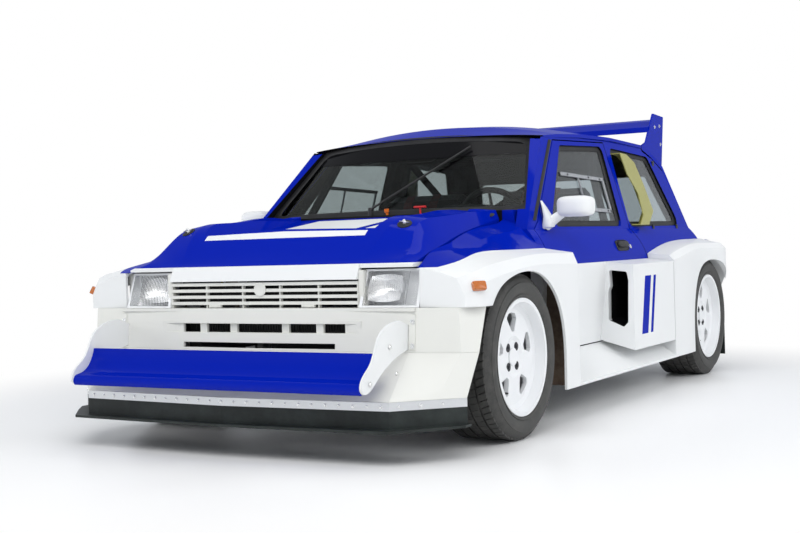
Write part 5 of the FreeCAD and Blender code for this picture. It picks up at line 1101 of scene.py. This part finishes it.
DIAL_RIM = ((0.0, 1.0), (0.004, 1.0), (0.004, 0.92), (0.001, 0.90), (0.001, 0.0))
# Each pad's name, place in y and z, half sizes and slope
PADS = (("base", (0.150, 0.366), (0.165, 0.165, 0.030), -0.085),
        ("back", (0.335, 0.650), (0.165, 0.028, 0.265), 0.104))
PAD_COLUMNS = 6
PAD_ROWS = 8
SEAM_DEPTH = 0.16
BELT_HALF_SPREAD = 0.075
BELT_WIDTH = 0.046
BELT_HALF_THICKNESS = 0.0012
COLUMN_LEAN = math.radians(20)
BOSS_RADIUS = 0.030
BOSS_STEPS = 24
BOSS_FACE = 0.034
BOSS_DEPTH = 0.008


def cabin():
    """Rear-view mirror, instrument hood with dials, switches, seat pads, belts and the wheel's boss."""
    dark, bright = bmesh.new(), bmesh.new()
    boss(dark, INNER_MIRROR_PLACE, ALONG, *INNER_MIRROR_HALF, ACROSS, UP, INNER_MIRROR_STEPS, 4.5)
    tube(dark, INNER_MIRROR_STEM, 0.006)
    high = Vector((0, *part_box("dashboard")[1].yz))
    boss(dark, high + HOOD_OFFSET, ALONG, *HOOD_HALF, ACROSS, UP, HOOD_STEPS, 3.0)
    for index in range(SWITCH_COUNT):
        low = high + SWITCH_START + SWITCH_PITCH * index * ACROSS
        block(dark, low, low + SWITCH, 0.002)
    for x, radius in DIALS:
        revolve(bright, [(along, share * radius) for along, share in DIAL_RIM],
                high + Vector((x, *DIAL_SET)), 32, ALONG)
    piece("cabin_fittings", dark, "inside", "body")
    piece("dial_rims", bright, "bright", "body")
    for side, sign in SIDES:
        for name, place, half, lean in PADS:
            pad = bmesh.new()
            cushion(pad, Vector((sign * SEAT_X, *place)), Vector(half), lean, name == "back")
            pad = piece("seat_pad_%s_%s" % (name, side), pad, "cloth", "body", 80)
            smooth = pad.modifiers.new("round", "SUBSURF")
            smooth.levels = smooth.render_levels = 2
        belts(side, sign * SEAT_X)
    hub = bmesh.new()
    back = Vector((0, math.cos(COLUMN_LEAN), math.sin(COLUMN_LEAN)))
    middle = JOINTS["steering_wheel_turn"] + back * BOSS_FACE
    ring = [middle + BOSS_RADIUS * c * ACROSS + back.cross(ACROSS) * BOSS_RADIUS * s
            for c, s in circle(BOSS_STEPS)]
    rings(hub, [ring, [point + back * BOSS_DEPTH for point in ring]])
    piece("wheel_boss", hub, "bright", "steering_wheel")


def belts(side, middle):
    """Two shoulder straps over a seat's back and the lap straps that they meet."""
    straps = bmesh.new()
    for shift in (-BELT_HALF_SPREAD, BELT_HALF_SPREAD):
        x = middle + shift
        ribbon(straps, [(x, 0.420, 0.995), (x, 0.372, 0.950), (x, 0.318, 0.780), (x * 0.98, 0.284, 0.560),
                        (middle + 0.4 * shift, 0.255, 0.425)])
        ribbon(straps, [(middle + 2.1 * shift, 0.290, 0.350), (middle + 1.6 * shift, 0.255, 0.410),
                        (middle + 0.3 * shift, 0.235, 0.422)])
    piece("belts_" + side, straps, "belt", "body")


def cushion(mesh, centre, half, lean, upright):
    """A stuffed pad with piped edges and cross seams, before it is smoothed; lean is its slope."""
    loops = []
    for row in range(PAD_ROWS + 1):
        share = 2 * row / PAD_ROWS - 1
        top, foot = [], []
        for column in range(PAD_COLUMNS + 1):
            across = 2 * column / PAD_COLUMNS - 1
            crown = (1 - 0.55 * across ** 4) * (1 - 0.45 * share ** 6) - (SEAM_DEPTH if row % 2 else 0.0)
            bolster = 0.45 * abs(across) ** 3
            for depth, made in ((crown + bolster, top), (-1.0, foot)):
                if upright:
                    point = Vector((half.x * across, -half.y * depth + lean * half.z * share, half.z * share))
                else:
                    point = Vector((half.x * across, half.y * share, half.z * depth + lean * half.y * share))
                made.append(centre + point)
        loops.append(top + list(reversed(foot)))
    rings(mesh, loops)


def ribbon(mesh, points):
    """A flat strap through points, thickened, its width across the car."""
    points = [Vector(point) for point in points]
    side = Vector((BELT_WIDTH / 2, 0, 0))
    rows = []
    for index, point in enumerate(points):
        run = (points[min(index + 1, len(points) - 1)] - points[max(index - 1, 0)]).normalized()
        out = run.cross(ACROSS).normalized() * BELT_HALF_THICKNESS
        rows.append([point - side - out, point + side - out, point + side + out, point - side + out])
    rings(mesh, rows)


# Running gear and tail

STRUT_HEAD = (0.540, 0.690)
SPRING_SHARES = (0.70, 0.95)
SPRING_RADIUS = 0.036
SPRING_WIRE = 0.0055
SPRING_TURNS = 4
TURN_STEPS = 20
CALIPER_PLACE = (-0.017, 0.118, 0.030)
CALIPER_LOW = Vector((-0.030, -0.030, -0.050))
CALIPER_HIGH = Vector((0.030, 0.034, 0.050))


def coil(mesh, foot, head):
    """A coil spring round a leaning strut."""
    tilt = (head - foot).normalized().to_track_quat("Z", "Y")
    count = SPRING_TURNS * TURN_STEPS
    points = []
    for step in range(count + 1):
        angle = math.tau * step / TURN_STEPS
        offset = Vector((SPRING_RADIUS * math.cos(angle), SPRING_RADIUS * math.sin(angle), 0))
        points.append(foot + (head - foot) * (step / count) + tilt @ offset)
    tube(mesh, points, SPRING_WIRE, 8)


def running_gear():
    """Coil springs on the struts and the brake calipers beside the discs."""
    kingpin = JOINTS["steer_left"]
    for side, sign in SIDES:
        for end, axle_y in ENDS:
            foot = Vector((sign * kingpin.x, axle_y, kingpin.z))
            head = Vector((sign * STRUT_HEAD[0], axle_y, STRUT_HEAD[1]))
            body = "knuckle_" + side if end == "front" else "body"
            spring, caliper = bmesh.new(), bmesh.new()
            coil(spring, *[foot.lerp(head, share) for share in SPRING_SHARES])
            corner = "_%s_%s" % (end, side)
            piece("spring" + corner, spring, "yellow", body)
            x, y, z = CALIPER_PLACE
            centre = Vector((sign * (HALF_TRACK + x), axle_y + y, AXLE_HEIGHT + z))
            block(caliper, centre + CALIPER_LOW, centre + CALIPER_HIGH, 0.006)
            piece("caliper" + corner, caliper, "iron", body)


TAIL_LAMP_INNER_X = 0.377
TAIL_FRAME = 0.006
FRAME_SUNK = 0.016
FRAME_PROUD = 0.002
WING_BOLTS = ((-0.070, 1.350), (-0.150, 1.340), (-0.060, 1.250))


def tail_fittings():
    """Frames round the rear lamps and the bolts of the wing's plates."""
    trim, bolts = bmesh.new(), bmesh.new()
    low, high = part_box("tail_lamps")
    inner, outer = TAIL_LAMP_INNER_X, high.x
    foot, top = low.z - TAIL_FRAME, high.z + TAIL_FRAME
    for sign in (1, -1):
        for x0, x1, z0, z1 in ((inner - TAIL_FRAME, inner, foot, top), (outer, outer + TAIL_FRAME, foot, top),
                               (inner, outer, foot, low.z), (inner, outer, high.z, top)):
            xs = sorted((sign * x0, sign * x1))
            block(trim, (xs[0], high.y - FRAME_SUNK, z0), (xs[1], high.y + FRAME_PROUD, z1), 0.0012)
        for y, z in WING_BOLTS:
            place, normal = side_hit("rear_wing", sign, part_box("rear_wing")[1].y + y, z)
            if abs(place.x) < 1.0:
                bolt(bolts, place, normal, 0.006, 0.005)
    piece("tail_lamp_frames", trim, "trim", "body")
    piece("wing_bolts", bolts, "bright", "tailgate")


# Studio and camera

SKY = (0.90, 0.94, 1.0, 1)
SKY_RISE = (0.05, 0.75)
SKY_STRENGTH = (0.90, 0.30)
FLOOR_HALF = 40.0
FLOOR_DROP = 0.0005
FLOOR_FADE = (1.7, 3.3)
# Each lamp's name, place, size, power and the point that it is aimed at
LAMPS = (
    ("key", (1.5, -4.5, 4.6), (5.5, 3.0), 184.0, (0, -0.3, 0.4)),
    ("side", (5.5, 0.5, 3.2), (5.0, 2.5), 106.0, (0, 0.2, 0.5)),
    ("fill", (-5.5, -2.5, 2.4), (4.0, 2.4), 80.0, (0, 0, 0.5)),
    ("top", (1.1, 1.0, 5.2), (2.2, 5.5), 50.0, (0.2, 0.5, 0)),
)


def backdrop():
    """Soft light from all round, and plain white where the camera sees past the car or through its glass."""
    world = bpy.data.worlds.new("studio")
    bpy.context.scene.world = world
    world.use_nodes = True
    tree = Tree(world.node_tree)
    height = tree.node("SeparateXYZ", {0: tree.node("TexCoord").outputs["Generated"]}).outputs["Z"]
    strength = tree.ramp(height, *SKY_RISE, *SKY_STRENGTH)
    soft = tree.feed(tree.nodes["Background"], {"Color": SKY, "Strength": strength})
    white = tree.node("Background", {"Color": PURE_WHITE})
    path = tree.node("LightPath").outputs
    through = tree.math("SUBTRACT", path["Is Transmission Ray"], path["Diffuse Depth"], use_clamp=True)
    seen = tree.math("MAXIMUM", path["Is Camera Ray"], through)
    mixed = tree.node("MixShader", {0: seen, 1: soft.outputs[0], 2: white.outputs[0]}).outputs[0]
    tree.feed(tree.nodes["World Output"], {"Surface": mixed})


def floor():
    """Pale floor that turns white with distance, as the camera sees it."""
    mesh = bmesh.new()
    bmesh.ops.create_grid(mesh, x_segments=1, y_segments=1, size=FLOOR_HALF)
    data = bpy.data.meshes.new("floor")
    mesh.to_mesh(data)
    mesh.free()
    ground = bpy.data.objects.new("floor", data)
    ground.location.z = -FLOOR_DROP
    bpy.context.scene.collection.objects.link(ground)
    graph = Graph("pale_floor", (0.97, 0.97, 0.97, 1), 0.40, Specular_IOR_Level=0.25)
    graph.use("Roughness", graph.ramp(graph.noise(1.2, 5.0), 0.3, 0.7, 0.30, 0.50))
    reach = graph.node("VectorMath", {0: graph.place}, operation="LENGTH").outputs["Value"]
    far = graph.ramp(reach, *FLOOR_FADE, 0.0, 1.0, "SMOOTHSTEP")
    seen = graph.both(far, graph.node("LightPath").outputs["Is Camera Ray"])
    glow = graph.node("Emission", {"Color": PURE_WHITE, "Strength": 1.0}).outputs[0]
    blend = graph.node("MixShader", {0: seen, 1: graph.shader.outputs[0], 2: glow}).outputs[0]
    graph.feed(graph.nodes["Material Output"], {"Surface": blend})
    data.materials.append(graph.material)


def lamps():
    for name, place, size, power, aim in LAMPS:
        lamp = bpy.data.lights.new(name, "AREA")
        lamp.shape = "RECTANGLE"
        lamp.size, lamp.size_y = size
        lamp.energy = power
        thing = bpy.data.objects.new(name, lamp)
        thing.location = place
        thing.rotation_euler = (Vector(aim) - Vector(place)).to_track_quat("-Z", "Y").to_euler()
        bpy.context.scene.collection.objects.link(thing)


# Camera solved from the photograph: place, turn, downward pitch, roll and focal length in pixels
CAMERA_PLACE = (2.84218, FRONT_AXLE_Y - 4.29664, 0.74486)
CAMERA_YAW = 0.52496621
CAMERA_PITCH = 0.01775769
CAMERA_ROLL = -0.03088325
CAMERA_FOCAL_PIXELS = 1263.797
PHOTO_WIDTH = 800.0
SENSOR = 36.0


def camera():
    level = Vector((math.cos(CAMERA_YAW), math.sin(CAMERA_YAW), 0))
    forward = Vector((-math.sin(CAMERA_YAW) * math.cos(CAMERA_PITCH),
                      math.cos(CAMERA_YAW) * math.cos(CAMERA_PITCH), -math.sin(CAMERA_PITCH)))
    rise = level.cross(forward)
    right = level * math.cos(CAMERA_ROLL) + rise * math.sin(CAMERA_ROLL)
    up = rise * math.cos(CAMERA_ROLL) - level * math.sin(CAMERA_ROLL)
    data = bpy.data.cameras.new("camera")
    data.sensor_width = SENSOR
    data.lens = SENSOR * CAMERA_FOCAL_PIXELS / PHOTO_WIDTH
    eye = bpy.data.objects.new("camera", data)
    turn = Matrix((right, up, -forward)).transposed().to_4x4()
    eye.matrix_world = Matrix.Translation(CAMERA_PLACE) @ turn
    bpy.context.scene.collection.objects.link(eye)
    bpy.context.scene.camera = eye


def dress_nodes():
    """Gives each CAD node that stays its finished material."""
    for key, names in NODE_MATERIALS.items():
        for name in names:
            for slot in frame["nodes"][name].material_slots:
                slot.material = MATERIALS[key]


def main():
    dress_nodes()
    for end, axle_y in ENDS:
        for side, sign in SIDES:
            tyre(side, sign, end, axle_y)
            wheel_fittings(side, sign, end, axle_y)
    for side, sign in SIDES:
        headlamp(side, sign)
        mirror(side, sign)
        side_fittings(side, sign)
    nose_backing()
    nose_fastenings()
    bonnet_fittings()
    windows()
    cabin()
    running_gear()
    tail_fittings()
    backdrop()
    floor()
    lamps()
    camera()
    bpy.context.scene.view_settings.view_transform = "Standard"


main()
